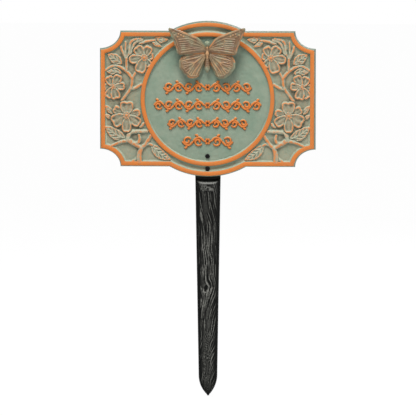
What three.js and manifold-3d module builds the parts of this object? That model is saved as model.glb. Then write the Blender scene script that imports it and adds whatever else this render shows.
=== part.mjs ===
// Garden plaque on a lawn stake.
//
// A cast plaque with notched corners carries a raised rim, a round medallion with rows of vines and two
// blossom branches in low relief. A cast butterfly stands off its face on two posts, and a cast stake is
// screwed to its back.
//
// Millimetres. The castings are drawn face up, as they lie in the mould: +X right, +Y up the plaque and
// +Z out of its face, from the centre of the medallion on the plaque's back. The finished group is stood
// up, so that +Z is up and the face looks along -Y, with the origin on the stake at the soil line.
import * as THREE from "three";
import { mergeVertices } from "three/addons/utils/BufferGeometryUtils.js";
import Module from "manifold-3d";

const wasm = await Module();
wasm.setup();

// Plaque casting
const PLAQUE_WIDTH = 222;
const PLAQUE_HEIGHT = 140; // between the straight edges
const BULGE_RISE = 10.3; // how far the round bulge stands above the straight edge
const NOTCH_WIDTH = 21; // concave corners
const NOTCH_HEIGHT = 18;
const PLATE_THICKNESS = 4.5;
const EDGE_DRAFT = 1.2; // lean of the outer edge from back to front
const RIM_WIDTH = 4.1;
const RIM_HEIGHT = 3; // above the field
const WALL_DRAFT = 0.4; // lean of the raised walls inside the rim and beside the ring
const RING_WIDTH = 3.8;

// Relief on the plaque
const RELIEF_HEIGHT = 2.6; // petal lips above the field
const RELIEF_ROOT = 0.6; // depth of the relief's feet in the plate
const PETAL_CUP = 0.35; // height of a petal's hollow, as a share of its lip
const PETAL_LIP = 0.72; // where the lip lies, from a petal's middle line (0) to its side (1)
const BLOSSOM_EYE = 0.235; // radius of the stamen boss, as a share of the longest petal
const LEAF_HEIGHT = 1.9;
const LEAF_SHOULDER = 0.55; // height beside a leaf's ridge, as a share of the ridge
const STEM_STEEPNESS = 1.1; // height of a stem over its half width
const VINE_WIDTH = 2.2; // strokes in the medallion
const VINE_HEIGHT = 1.85;

// Stake casting
const STAKE_WIDTH = 25.9; // at the tang and the shoulder
const FOOT_WIDTH = 19; // where the point begins
const STAKE_DROP = 227.6; // from the plaque's lower edge to the tip
const POINT_LENGTH = 22;
const TIP_HALF_WIDTH = 1;
const TANG_THICKNESS = 5.5;
const TANG_CORNER = 6;
const TANG_MARGIN = 11; // from the upper screw to the top of the tang
const STAKE_CROWN = 5.5; // rise of the rounded front above the plaque's back
const SHOULDER_GAP = 2.8; // between the plaque's lower edge and the shoulder of the stake
const SHOULDER_LEAN = 4; // how far the shoulder falls from the tang to the front
const SOIL_DEPTH = 125; // length of stake in the ground

// Butterfly casting
const FOREWING_REACH = 39.5; // body to wing tip, sideways
const FOREWING_RISE = 25; // thorax to wing tip, upwards
const HINDWING_REACH = 29.2;
const HINDWING_DROP = 28; // thorax to the lowest point of the hind wing
const WING_THICKNESS = 1.8;
const FOREWING_LIFT = 13; // degrees that a wing leans forward from the body
const HINDWING_LIFT = 9;
const HINDWING_SET_BACK = 0.8;
const VEIN_COUNT = 6;
const VEIN_HEIGHT = 0.8;
const FOREWING_ROOT = [4, -2]; // top and bottom of the wing at the body, from the thorax
const HINDWING_ROOT = [-1, -8];
const BODY_RADIUS = 2.4;
const BODY_STANDOFF = 6; // plaque field to the body's centre line
const BUTTERFLY_INSET = 15.6; // from the ring's inner edge to the thorax
const POST_RADIUS = 3.2;
const POST_PITCH = 12; // between the two posts under the body

// Screws
const SHANK_DIAMETER = 3;
const HEAD_DIAMETER = 4.8;
const HEAD_HEIGHT = 1.7;
const RECESS_WIDTH = 0.7;
const RECESS_LENGTH = 2.8;
const RECESS_DEPTH = 0.9;
const HEAD_CLEARANCE = 0.8; // beside a head in the channel between ring and rim
const UPPER_SCREW_INSET = 6; // from the ring's inner edge to the upper stake screw
const HOLE_CLEARANCE = 0.3; // around a shank
const END_CLEARANCE = 0.8; // beyond the end of a shank
const SEAT_GAP = 0.3; // between parts that are screwed together

// Facets
const NOTCH_STEPS = 7;
const BULGE_STEPS = 10;
const RING_STEPS = 60;
const ROUND_STEPS = 12;
const EYE_STEPS = 6;
const ARCH_STEPS = 4;
const CURL_STEPS = 6;
const POINT_STEPS = 6;
const CROWN_STEPS = 10;

// Sizes that follow from the ones above
const rimTop = PLATE_THICKNESS + RIM_HEIGHT;
const rimInset = EDGE_DRAFT + RIM_WIDTH;
const bulgeRadius = PLAQUE_HEIGHT / 2 + BULGE_RISE;
const channelWidth = HEAD_DIAMETER + 2 * HEAD_CLEARANCE;
const ringOuter = bulgeRadius - rimInset - channelWidth;
const ringInner = ringOuter - RING_WIDTH;
const panelWidth = PLAQUE_WIDTH / 2 - rimInset; // half of the panel inside the rim
const panelHeight = PLAQUE_HEIGHT / 2 - rimInset;
const lowerScrewY = -(ringOuter + channelWidth / 2);
const upperScrewY = -(ringInner - UPPER_SCREW_INSET);
const thoraxY = ringInner - BUTTERFLY_INSET;
const tangFront = -SEAT_GAP;
const tangBack = tangFront - TANG_THICKNESS;
const tipY = -bulgeRadius - STAKE_DROP;
const holeRadius = SHANK_DIAMETER / 2 + HOLE_CLEARANCE;

// Solids: closed meshes that can be joined and cut

function solidOf(geometry) {
  const bare = new THREE.BufferGeometry();
  bare.setAttribute("position", geometry.getAttribute("position"));
  bare.setIndex(geometry.getIndex());
  const merged = mergeVertices(bare, 1e-4);
  const corners = merged.getIndex().array;
  const kept = [];
  for (let i = 0; i < corners.length; i += 3) {
    const [a, b, c] = corners.slice(i, i + 3);
    if (a !== b && b !== c && c !== a) kept.push(a, b, c);
  }
  const mesh = new wasm.Mesh({
    numProp: 3,
    vertProperties: merged.getAttribute("position").array,
    triVerts: Uint32Array.from(kept),
  });
  return new wasm.Manifold(mesh);
}

function geometryOf(solid) {
  const mesh = solid.getMesh();
  const geometry = new THREE.BufferGeometry();
  geometry.setAttribute("position", new THREE.BufferAttribute(mesh.vertProperties, 3));
  geometry.setIndex(new THREE.BufferAttribute(mesh.triVerts, 1));
  geometry.computeVertexNormals();
  return geometry;
}

function joined(solids) {
  return solids.reduce((whole, next) => whole.add(next));
}

function geometryFrom(points, triangles) {
  const geometry = new THREE.BufferGeometry().setFromPoints(points);
  geometry.setIndex(triangles);
  return geometry;
}

// A closed skin through rings of points, each ring with the same count, closed by caps at both ends.
// The rings run anticlockwise seen from the last ring's side.
function loft(rings, capTriangles) {
  const count = rings[0].length;
  const triangles = [];
  for (let r = 0; r + 1 < rings.length; r += 1) {
    for (let i = 0; i < count; i += 1) {
      const here = r * count + i;
      const next = r * count + ((i + 1) % count);
      triangles.push(here, next, here + count, next, next + count, here + count);
    }
  }
  const last = (rings.length - 1) * count;
  for (const [a, b, c] of capTriangles) {
    triangles.push(a, c, b, last + a, last + b, last + c);
  }
  return solidOf(geometryFrom(rings.flat(), triangles));
}

// Cap triangles of a convex ring.
function fan(count) {
  return Array.from({ length: count - 2 }, (_, i) => [0, i + 1, i + 2]);
}

// A closed solid between a top grid and a bottom grid of points. Rows run along +X and columns along +Y,
// or any turn of that, so that the top faces +Z.
function slab(top, bottom) {
  const rows = top.length;
  const columns = top[0].length;
  const under = rows * columns;
  const at = (r, c) => r * columns + c;
  const triangles = [];
  const quad = (a, b, c, d) => triangles.push(a, b, c, a, c, d);
  for (let r = 0; r + 1 < rows; r += 1) {
    for (let c = 0; c + 1 < columns; c += 1) {
      const corners = [at(r, c), at(r + 1, c), at(r + 1, c + 1), at(r, c + 1)];
      quad(...corners);
      quad(...corners.map((corner) => corner + under).reverse());
    }
  }
  const wall = (a, b) => quad(a, a + under, b + under, b);
  for (let r = 0; r + 1 < rows; r += 1) {
    wall(at(r, 0), at(r + 1, 0));
    wall(at(r + 1, columns - 1), at(r, columns - 1));
  }
  for (let c = 0; c + 1 < columns; c += 1) {
    wall(at(rows - 1, c), at(rows - 1, c + 1));
    wall(at(0, c + 1), at(0, c));
  }
  return solidOf(geometryFrom([...top.flat(), ...bottom.flat()], triangles));
}

// A turned solid about +Z from a profile of [radius, z] points.
function turned(profile, steps) {
  const points = profile.map(([radius, z]) => new THREE.Vector2(radius, z));
  return solidOf(new THREE.LatheGeometry(points, steps).rotateX(Math.PI / 2));
}

function rod(radius, from, to, steps = ROUND_STEPS) {
  return turned([[0, from], [radius, from], [radius, to], [0, to]], steps);
}

// Plaque: outline, rim, ring

// The plaque's outline, drawn in from the outer edge by inset: straight edges, elliptical notches at the
// corners and a round bulge above and below. The same count of points at every inset.
function plaqueOutline(inset) {
  const edgeY = PLAQUE_HEIGHT / 2 - inset;
  const bulge = bulgeRadius - inset;
  const notchX = NOTCH_WIDTH + inset;
  const notchY = NOTCH_HEIGHT + inset;
  const notchFrom = -Math.PI / 2 - Math.asin(inset / notchX);
  const notchTo = -Math.PI + Math.asin(inset / notchY);
  const bulgeFrom = Math.asin(edgeY / bulge);
  const quarter = [];
  for (let i = 0; i <= NOTCH_STEPS; i += 1) {
    const angle = THREE.MathUtils.lerp(notchFrom, notchTo, i / NOTCH_STEPS);
    const x = PLAQUE_WIDTH / 2 + notchX * Math.cos(angle);
    quarter.push([x, PLAQUE_HEIGHT / 2 + notchY * Math.sin(angle)]);
  }
  for (let i = 0; i < BULGE_STEPS; i += 1) {
    const angle = THREE.MathUtils.lerp(bulgeFrom, Math.PI / 2, i / BULGE_STEPS);
    quarter.push([bulge * Math.cos(angle), bulge * Math.sin(angle)]);
  }
  const half = [...quarter, [0, bulge], ...quarter.toReversed().map(([x, y]) => [-x, y])];
  const otherHalf = half.map(([x, y]) => [-x, -y]);
  otherHalf[NOTCH_STEPS + 1 + BULGE_STEPS] = [0, -bulge];
  return [...half, ...otherHalf].map(([x, y]) => new THREE.Vector2(x, y));
}

function outlineBlock(lowInset, lowZ, highInset, highZ) {
  const low = plaqueOutline(lowInset);
  const high = plaqueOutline(highInset);
  const caps = THREE.ShapeUtils.triangulateShape(low, []);
  const ring = (outline, z) => outline.map(({ x, y }) => new THREE.Vector3(x, y, z));
  return loft([ring(low, lowZ), ring(high, highZ)], caps);
}

// The space inside the rim, from the field to above the rim.
function panelSpace() {
  const floorInset = rimInset + WALL_DRAFT;
  return outlineBlock(floorInset, PLATE_THICKNESS, rimInset - WALL_DRAFT, rimTop + RIM_HEIGHT);
}

function medallionRing() {
  const foot = PLATE_THICKNESS - RELIEF_ROOT;
  return turned([
    [ringInner - WALL_DRAFT, foot],
    [ringOuter + WALL_DRAFT, foot],
    [ringOuter, rimTop],
    [ringInner, rimTop],
    [ringInner - WALL_DRAFT, foot],
  ], RING_STEPS);
}

// Blossom branches: one side is drawn, as shares of the half panel, and the other is its mirror image

// Each petal has an angle in degrees, a reach, a width and how square its end is (0 to 1).
const BLOSSOMS = [
  {
    place: [0.616, 0.656],
    petals: [
      [168, 9.8, 7.5, 0.2], [238, 11, 8, 0.2], [116, 12.4, 8.8, 0.3], [53, 13.6, 10.6, 0.4],
      [351, 16, 9, 0.1], [289, 16.4, 11.4, 0.3],
    ],
  },
  {
    place: [0.918, 0.194],
    petals: [
      [352, 9.5, 8, 0.3], [61, 11.5, 9, 0.5], [118, 13, 9, 0.3], [178, 12, 7.6, 0.4],
      [300, 13, 8.4, 0.4], [256, 13, 9.8, 0.8],
    ],
  },
  {
    place: [0.789, -0.264],
    petals: [
      [167, 14.5, 7, 0.3], [27, 15, 8, 0.6], [91, 14, 13.6, 0.9], [332, 16.5, 13, 0.7],
      [213, 16.5, 10, 0.3], [270, 17.5, 9.8, 0.2],
    ],
  },
];

// Each leaf runs through its points to its tip, with its width as a share of the way from end to end.
const LEAVES = [
  { points: [[0.801, -0.636], [0.891, -0.573], [1, -0.442]], width: 0.44 },
  { points: [[0.545, -0.736], [0.469, -0.868], [0.36, -0.969]], width: 0.4 },
  { points: [[0.834, 0.558], [0.972, 0.713]], width: 0.56 },
  { points: [[0.839, 0.411], [1, 0.465]], width: 0.46 },
  { points: [[0.777, 0.667], [0.754, 0.83], [0.711, 0.922], [0.626, 0.969]], width: 0.24 },
  { points: [[0.791, 0.682], [0.825, 0.76], [0.848, 0.845]], width: 0.34 },
  { points: [[0.54, 0.93], [0.384, 0.946]], width: 0.42 },
  { points: [[0.54, 0.907], [0.45, 0.829]], width: 0.42 },
  { points: [[0.924, -0.24], [1, -0.101]], width: 0.42 },
  { points: [[0.934, -0.318], [1.005, -0.248]], width: 0.44 },
  { points: [[0.664, -0.457], [0.611, -0.38]], width: 0.44 },
];

// Each stem runs through its points and thins from its first half width to its last.
const STEMS = [
  { points: [[0.664, -1.008], [0.664, -0.884], [0.645, -0.783]], from: 2.5, to: 2 },
  { points: [[0.668, -0.884], [0.697, -0.953], [0.735, -1.008]], from: 1.2, to: 1.3 },
  { points: [[0.645, -0.783], [0.604, -0.721], [0.573, -0.643], [0.545, -0.566]], from: 1.8, to: 1.4 },
  { points: [[0.604, -0.729], [0.569, -0.721], [0.54, -0.741]], from: 1.3, to: 1.1 },
  { points: [[0.645, -0.783], [0.687, -0.744], [0.73, -0.705], [0.777, -0.651]], from: 1.8, to: 1.5 },
  { points: [[0.777, -0.659], [0.853, -0.69], [0.934, -0.752]], from: 1.5, to: 1.1 },
  { points: [[0.777, -0.643], [0.768, -0.581], [0.735, -0.527], [0.588, -0.516]], from: 1.5, to: 1.3 },
  { points: [[0.725, -0.705], [0.678, -0.69], [0.662, -0.636], [0.666, -0.581]], from: 1.4, to: 1 },
  { points: [[0.834, -0.031], [0.754, 0.152], [0.737, 0.233], [0.733, 0.333]], from: 1.3, to: 1.6 },
  { points: [[0.749, 0.16], [0.701, 0.177], [0.645, 0.229]], from: 1.5, to: 1.3 },
  { points: [[0.733, 0.333], [0.801, 0.453], [0.9, 0.527], [1.005, 0.447]], from: 1.6, to: 1.1 },
  { points: [[0.791, 0.45], [0.788, 0.589], [0.798, 0.76], [0.797, 0.9]], from: 1.5, to: 0.9 },
  { points: [[0.733, 0.333], [0.716, 0.38], [0.7, 0.419]], from: 1.4, to: 1.1 },
  { points: [[0.645, 0.829], [0.626, 0.884], [0.569, 0.922], [0.512, 0.935]], from: 1.4, to: 1.1 },
];

const panelPoint = ([across, up]) => new THREE.Vector2(across * panelWidth, up * panelHeight);
const onField = (point, height) => new THREE.Vector3(point.x, point.y, PLATE_THICKNESS + height);
const leftOf = (ahead) => new THREE.Vector2(-ahead.y, ahead.x);

// A raised blade along a curve: its rows give a share of the curve and a half width there, its columns
// shares of that half width (-1 to 1), and heightAt its surface over both.
function blade(curve, rows, columns, heightAt) {
  const grid = (heightOf) => rows.map(([along, halfWidth]) => {
    const side = leftOf(curve.getTangentAt(along)).multiplyScalar(halfWidth);
    return columns.map((across) => {
      return onField(curve.getPointAt(along).addScaledVector(side, across), heightOf(along, across));
    });
  });
  return slab(grid(heightAt), grid(() => -2 * RELIEF_ROOT));
}

// A cupped petal with a raised lip round it.
function petal(centre, [angle, reach, width, squareness]) {
  const turn = THREE.MathUtils.degToRad(angle);
  const spoke = new THREE.Vector2(reach * Math.cos(turn), reach * Math.sin(turn));
  const lipAlong = 0.82;
  const endWidth = THREE.MathUtils.lerp(0.5, 0.85, squareness);
  const shares = [[0.08, 0.3], [0.42, 0.86], [lipAlong, 1], [1, endWidth]];
  const rows = shares.map(([along, share]) => [along, (share * width) / 2]);
  const height = (along, across) => {
    if (along === 1 || Math.abs(across) === 1) return -RELIEF_ROOT;
    const lip = along === lipAlong || across !== 0;
    return RELIEF_HEIGHT * (lip ? 1 : PETAL_CUP);
  };
  const line = new THREE.LineCurve(centre, centre.clone().add(spoke));
  return blade(line, rows, [-1, -PETAL_LIP, 0, PETAL_LIP, 1], height);
}

function blossom({ place, petals }) {
  const centre = panelPoint(place);
  const eyeRadius = BLOSSOM_EYE * Math.max(...petals.map(([, reach]) => reach));
  const eye = turned([
    [0, -RELIEF_ROOT],
    [eyeRadius, -RELIEF_ROOT],
    [eyeRadius * 0.9, RELIEF_HEIGHT * 0.8],
    [eyeRadius * 0.5, RELIEF_HEIGHT * 1.1],
    [0, RELIEF_HEIGHT * 1.15],
  ], EYE_STEPS).translate([centre.x, centre.y, PLATE_THICKNESS]);
  return joined([eye, ...petals.map((shape) => petal(centre, shape))]);
}

// A pointed leaf with a ridge along its middle.
function leaf({ points, width }) {
  const corners = points.map(panelPoint);
  const widest = (corners[0].distanceTo(corners.at(-1)) * width) / 2;
  const rows = [0, 0.25, 0.65, 1].map((along) => [along, widest * Math.sin(Math.PI * along ** 0.8)]);
  const height = (along, across) => {
    if (Math.abs(across) === 1) return -RELIEF_ROOT;
    return LEAF_HEIGHT * (across === 0 ? 1 : LEAF_SHOULDER);
  };
  return blade(new THREE.SplineCurve(corners), rows, [-1, -0.8, 0, 0.8, 1], height);
}

// A half-round stem that thins along its length.
function stem({ points, from, to }) {
  const curve = new THREE.SplineCurve(points.map(panelPoint));
  const steps = points.length;
  const rings = [];
  for (let i = 0; i <= steps; i += 1) {
    const centre = curve.getPointAt(i / steps);
    const halfWidth = THREE.MathUtils.lerp(from, to, i / steps);
    const side = leftOf(curve.getTangentAt(i / steps)).multiplyScalar(halfWidth);
    const rise = halfWidth * STEM_STEEPNESS;
    const flank = 0.6 * rise;
    const section = [[1, -RELIEF_ROOT], [0.8, flank], [0, rise], [-0.8, flank], [-1, -RELIEF_ROOT]];
    rings.push(section.map(([across, z]) => onField(centre.clone().addScaledVector(side, across), z)));
  }
  return loft(rings, fan(rings[0].length));
}

function blossomBranch() {
  const drawn = [...STEMS.map(stem), ...LEAVES.map(leaf), ...BLOSSOMS.map(blossom)];
  const middleOfRim = rimInset - RIM_WIDTH / 2;
  const panel = outlineBlock(middleOfRim, PLATE_THICKNESS - RELIEF_ROOT, middleOfRim, rimTop);
  const medallion = rod(ringOuter - RING_WIDTH / 2, 0, 2 * rimTop, RING_STEPS);
  return joined(drawn).intersect(panel).subtract(medallion);
}

// Vines in the medallion: rows of arches on both sides of a rosette, each arch with a tendril curled up
// under it and a leaf on its crown. Heights, half lengths and rosettes are shares of the medallion's radius.

const VINE_ROWS = [
  { height: 0.186, halfLength: 0.697, lobes: 4 },
  { height: -0.101, halfLength: 0.851, lobes: 5 },
  { height: -0.387, halfLength: 0.635, lobes: 4 },
  { height: -0.673, halfLength: 0.402, lobes: 2 },
];
const ROSETTE_RADIUS = 0.056;
const ROSETTE_POINTS = 6;
const ARCH_RISE = 0.37; // of an arch, as a share of its length
const TENDRIL_TURN = [205, 585]; // degrees, from the arch's foot to the inner end
const TENDRIL_RADIUS = [0.37, 0.1]; // share of the arch's length, at both ends
const TENDRIL_CENTRE = [0.54, -0.12]; // shares of the arch's length and of its rise
const CROWN_LEAF = [[0.5, 1.05], [0.69, 1.46], [0.86, 1.62]]; // its points, as the same shares
const CROWN_LEAF_WIDTHS = [0.2, 1.1, 0.2]; // shares of the vines' own width

// A sharp ridge through points, with a half width at each as a share of the vines' own.
function ridge(points, shares) {
  const last = points.length - 1;
  const rings = points.map((point, i) => {
    const ahead = points[Math.min(i + 1, last)].clone().sub(points[Math.max(i - 1, 0)]).normalize();
    const side = leftOf(ahead).multiplyScalar((shares[i] * VINE_WIDTH) / 2);
    const foot = (sign) => onField(point.clone().addScaledVector(side, sign), -RELIEF_ROOT);
    return [foot(1), onField(point, VINE_HEIGHT * Math.min(1, shares[i])), foot(-1)];
  });
  return loft(rings, fan(3));
}

function vineLobe(start, length, rise) {
  const { lerp, degToRad } = THREE.MathUtils;
  const at = (across, up) => new THREE.Vector2(start + across * length, up);
  const sweep = (steps) => Array.from({ length: steps + 1 }, (_, i) => i / steps);
  const arch = sweep(ARCH_STEPS).map((t) => at(t, rise * Math.sin(Math.PI * t)));
  const [centreAcross, centreUp] = TENDRIL_CENTRE;
  const tendril = sweep(CURL_STEPS).map((t) => {
    const turn = degToRad(lerp(...TENDRIL_TURN, t));
    const radius = lerp(...TENDRIL_RADIUS, t);
    const up = Math.sign(rise) * length * radius * Math.sin(turn);
    return at(centreAcross + radius * Math.cos(turn), centreUp * rise + up);
  });
  return [
    ridge(arch, arch.map(() => 1)),
    ridge(tendril, tendril.map(() => 0.8)),
    ridge(CROWN_LEAF.map(([across, up]) => at(across, up * rise)), CROWN_LEAF_WIDTHS),
  ];
}

// A star with blunt points that rises to a small flat.
function rosette(radius) {
  const outline = Array.from({ length: 2 * ROSETTE_POINTS }, (_, i) => {
    const reach = radius * (i % 2 === 0 ? 1 : 0.55);
    return new THREE.Vector2(reach, 0).rotateAround(new THREE.Vector2(), (i * Math.PI) / ROSETTE_POINTS);
  });
  const ring = (share, z) => outline.map((point) => onField(point.clone().multiplyScalar(share), z));
  const caps = THREE.ShapeUtils.triangulateShape(outline, []);
  return loft([ring(1, -RELIEF_ROOT), ring(0.35, VINE_HEIGHT)], caps);
}

function medallionVines() {
  const rosettes = [];
  const right = [];
  for (const { height, halfLength, lobes } of VINE_ROWS) {
    const place = [0, height * ringInner, 0];
    const start = ROSETTE_RADIUS * ringInner;
    const length = (halfLength * ringInner - start) / lobes;
    rosettes.push(rosette(start).translate(place));
    for (let i = 0; i < lobes; i += 1) {
      const rise = length * (i % 2 === 0 ? ARCH_RISE : -ARCH_RISE);
      right.push(...vineLobe(start + i * length, length, rise).map((part) => part.translate(place)));
    }
  }
  const half = joined(right);
  return joined([...rosettes, half, half.mirror([1, 0, 0])]);
}

function plaqueCasting() {
  const block = outlineBlock(0, 0, EDGE_DRAFT, rimTop);
  const branch = blossomBranch();
  const casting = joined([
    block.subtract(panelSpace()),
    medallionRing(),
    branch,
    branch.mirror([1, 0, 0]),
    medallionVines(),
  ]);
  const holes = [lowerScrewY, upperScrewY, thoraxY, thoraxY - POST_PITCH];
  return holes.reduce(
    (cut, y) => cut.subtract(rod(holeRadius, -rimTop, 2 * rimTop).translate([0, y, 0])),
    casting,
  );
}

// Stake: a tapering bar with a flat back and a rounded front, cut down to a flat tang at the top

const tangTop = upperScrewY + TANG_MARGIN;

function stakeHalfWidth(y) {
  const footY = tipY + POINT_LENGTH;
  const foot = FOOT_WIDTH / 2;
  const top = STAKE_WIDTH / 2;
  if (y < footY) {
    const pointRadius = (POINT_LENGTH ** 2 + foot ** 2) / (2 * foot);
    const width = foot - pointRadius + Math.sqrt(pointRadius ** 2 - (footY - y) ** 2);
    return Math.max(width, TIP_HALF_WIDTH);
  }
  const cornerY = tangTop - TANG_CORNER;
  if (y > cornerY) return top - TANG_CORNER + Math.sqrt(TANG_CORNER ** 2 - (y - cornerY) ** 2);
  const share = Math.min(1, (y - footY) / (-bulgeRadius - footY));
  return THREE.MathUtils.lerp(foot, top, share);
}

// The bar's section at height y: a flat back, upright sides and a superelliptic front. Towards the tip
// the front falls to the back.
function stakeSection(y) {
  const halfWidth = stakeHalfWidth(y);
  const slimness = Math.min(1, halfWidth / (FOOT_WIDTH / 2)) ** 0.7;
  const sideTop = tangBack + TANG_THICKNESS * slimness;
  const crown = STAKE_CROWN * slimness;
  const squareness = 0.72;
  const section = [new THREE.Vector3(-halfWidth, y, tangBack), new THREE.Vector3(halfWidth, y, tangBack)];
  for (let i = 0; i <= CROWN_STEPS; i += 1) {
    const angle = (Math.PI * i) / CROWN_STEPS;
    const across = Math.sign(Math.cos(angle)) * Math.abs(Math.cos(angle)) ** squareness;
    const up = Math.sin(angle) ** squareness;
    section.push(new THREE.Vector3(halfWidth * across, y, sideTop + crown * up));
  }
  return section;
}

function stakeCasting() {
  const shares = (count) => Array.from({ length: count }, (_, i) => i / count);
  const footY = tipY + POINT_LENGTH;
  const cornerY = tangTop - TANG_CORNER;
  const levels = [
    ...shares(POINT_STEPS).map((t) => tipY + POINT_LENGTH * t ** 1.4),
    footY,
    -bulgeRadius,
    ...shares(POINT_STEPS).map((t) => cornerY + TANG_CORNER * Math.sin((t * Math.PI) / 2)),
    tangTop,
  ];
  const rings = levels.map(stakeSection).map((ring) => ring.toReversed());
  const bar = loft(rings, fan(rings[0].length));
  const shoulder = bulgeRadius + SHOULDER_GAP;
  const aboveFront = tangFront + 2 * STAKE_CROWN;
  const nest = turned([
    [0, tangFront],
    [shoulder, tangFront],
    [shoulder + 2 * SHOULDER_LEAN, aboveFront],
    [0, aboveFront],
  ], 2 * RING_STEPS);
  const tapped = rod(holeRadius, 2 * tangBack, aboveFront);
  return bar
    .subtract(nest)
    .subtract(tapped.translate([0, lowerScrewY, 0]))
    .subtract(tapped.translate([0, upperScrewY, 0]));
}

// Butterfly: each wing is a patch between its leading edge, outer margin and trailing edge, pleated so
// that its veins stand up, and all four wings meet on a turned body

const curveThrough = (points) => new THREE.SplineCurve(points.map(([x, y]) => new THREE.Vector2(x, y)));
const between = (from, to, share) => from.clone().lerp(to, share);

// The point of the patch at share s of the way round the margin and share r of the way out to it.
function wingPoint({ leading, margin, trailing }, s, r) {
  const ruled = between(leading.getPointAt(r), trailing.getPointAt(r), s);
  const root = between(leading.getPoint(0), trailing.getPoint(0), s);
  const chord = between(leading.getPoint(1), trailing.getPoint(1), s);
  return ruled.add(between(root, margin.getPointAt(s), r)).sub(between(root, chord, r));
}

function wing({ leading, margin, trailing, lift, setBack }) {
  const edges = {
    leading: curveThrough(leading),
    margin: curveThrough(margin),
    trailing: curveThrough(trailing),
  };
  const slope = Math.tan(THREE.MathUtils.degToRad(lift));
  const border = 0.88;
  const outward = [0, 0.3, 0.6, border, 1];
  const pleats = Array.from({ length: 2 * VEIN_COUNT + 1 }, (_, i) => i);
  const grid = (heightAt) => pleats.map((pleat) => outward.map((r) => {
    const { x, y } = wingPoint(edges, pleat / (2 * VEIN_COUNT), r);
    return new THREE.Vector3(x, y, x * slope - setBack + heightAt(pleat, r));
  }));
  const veined = (pleat, r) => WING_THICKNESS / 2 + (pleat % 2 === 0 || r >= border ? VEIN_HEIGHT : 0);
  return slab(grid(veined), grid(() => -WING_THICKNESS / 2));
}

function forewing() {
  const at = (across, up) => [across * FOREWING_REACH, up * FOREWING_RISE];
  const rootX = BODY_RADIUS / 3;
  const [rootTop, rootBottom] = FOREWING_ROOT;
  const beforeTip = at(0.91, 0.975);
  const afterTail = at(0.7, -0.13);
  return wing({
    leading: [[rootX, rootTop], at(0.21, 0.545), at(0.42, 0.71), at(0.68, 0.87), beforeTip],
    margin: [beforeTip, at(0.975, 1), at(1, 0.93), at(0.86, 0.38), at(0.8, 0.06), at(0.76, -0.08), afterTail],
    trailing: [[rootX, rootBottom], at(0.42, -0.14), afterTail],
    lift: FOREWING_LIFT,
    setBack: 0,
  });
}

function hindwing() {
  const at = (across, down) => [across * HINDWING_REACH, -down * HINDWING_DROP];
  const rootX = BODY_RADIUS / 3;
  const [rootTop, rootBottom] = HINDWING_ROOT;
  const shoulder = at(0.76, 0.12);
  const hip = at(0.35, 0.93);
  return wing({
    leading: [[rootX, rootTop], at(0.4, 0.06), shoulder],
    margin: [shoulder, at(0.93, 0.2), at(1, 0.4), at(0.97, 0.62), at(0.82, 0.83), at(0.5, 1), hip],
    trailing: [[rootX, rootBottom], at(0.16, 0.53), hip],
    lift: HINDWING_LIFT,
    setBack: HINDWING_SET_BACK,
  });
}

// Head, thorax and abdomen as one turned piece along the plaque's height.
function butterflyBody() {
  const r = BODY_RADIUS;
  const bodyProfile = [
    [0, -0.8 * HINDWING_DROP], [0.55 * r, -0.72 * HINDWING_DROP], [r, -0.6 * HINDWING_DROP],
    [0.8 * r, -0.4 * HINDWING_DROP], [0.5 * r, -2 * r], [r, -0.6 * r], [r, 1.2 * r],
    [0.55 * r, 2.4 * r], [0.85 * r, 3.2 * r], [0.7 * r, 4.1 * r], [0, 4.5 * r],
  ];
  return turned(bodyProfile, 10).rotate([-90, 0, 0]);
}

function butterflyCasting() {
  const right = forewing().add(hindwing());
  const post = rod(POST_RADIUS, SEAT_GAP - BODY_STANDOFF, 0);
  const posts = [post, post.translate([0, -POST_PITCH, 0])];
  const casting = joined([right, right.mirror([1, 0, 0]), butterflyBody(), ...posts]);
  const tapped = rod(holeRadius, -2 * BODY_STANDOFF, 0);
  return casting.subtract(tapped).subtract(tapped.translate([0, -POST_PITCH, 0]));
}

// A screw with its head's seat at z = 0, its head above and its shank below.
function screw(shankLength) {
  const head = HEAD_DIAMETER / 2;
  const shank = SHANK_DIAMETER / 2;
  const blank = turned([
    [0, -shankLength],
    [0.8 * shank, -shankLength],
    [shank, 0.3 * shank - shankLength],
    [shank, 0],
    [head, 0],
    [head, 0.6 * HEAD_HEIGHT],
    [0.75 * head, 0.92 * HEAD_HEIGHT],
    [0, HEAD_HEIGHT],
  ], ROUND_STEPS);
  const slot = new THREE.BoxGeometry(RECESS_LENGTH, RECESS_WIDTH, 2 * RECESS_DEPTH);
  slot.translate(0, 0, HEAD_HEIGHT);
  const recess = solidOf(slot);
  return blank.subtract(recess).subtract(recess.rotate([0, 0, 90]));
}

// Finishes
function finish(color, roughness, metalness) {
  return new THREE.MeshStandardMaterial({ color, roughness, metalness });
}

const verdigris = finish(0x8aa593, 0.6, 0.1);
const bronze = finish(0x93795f, 0.55, 0.2);
const blackPaint = finish(0x1b1b1a, 0.45, 0.1);
const zincPlate = finish(0x9a9c9e, 0.4, 0.9);

// Assembly
function piece(name, solid, material, [x, y, z] = [0, 0, 0]) {
  const mesh = new THREE.Mesh(geometryOf(solid), material);
  mesh.name = name;
  mesh.position.set(x, y, z);
  return mesh;
}

const stakeScrewLength = PLATE_THICKNESS + SEAT_GAP + TANG_THICKNESS - END_CLEARANCE;
const stakeScrewSeat = PLATE_THICKNESS + SEAT_GAP;
const flyScrewLength = SEAT_GAP + PLATE_THICKNESS + BODY_STANDOFF - END_CLEARANCE;

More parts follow.
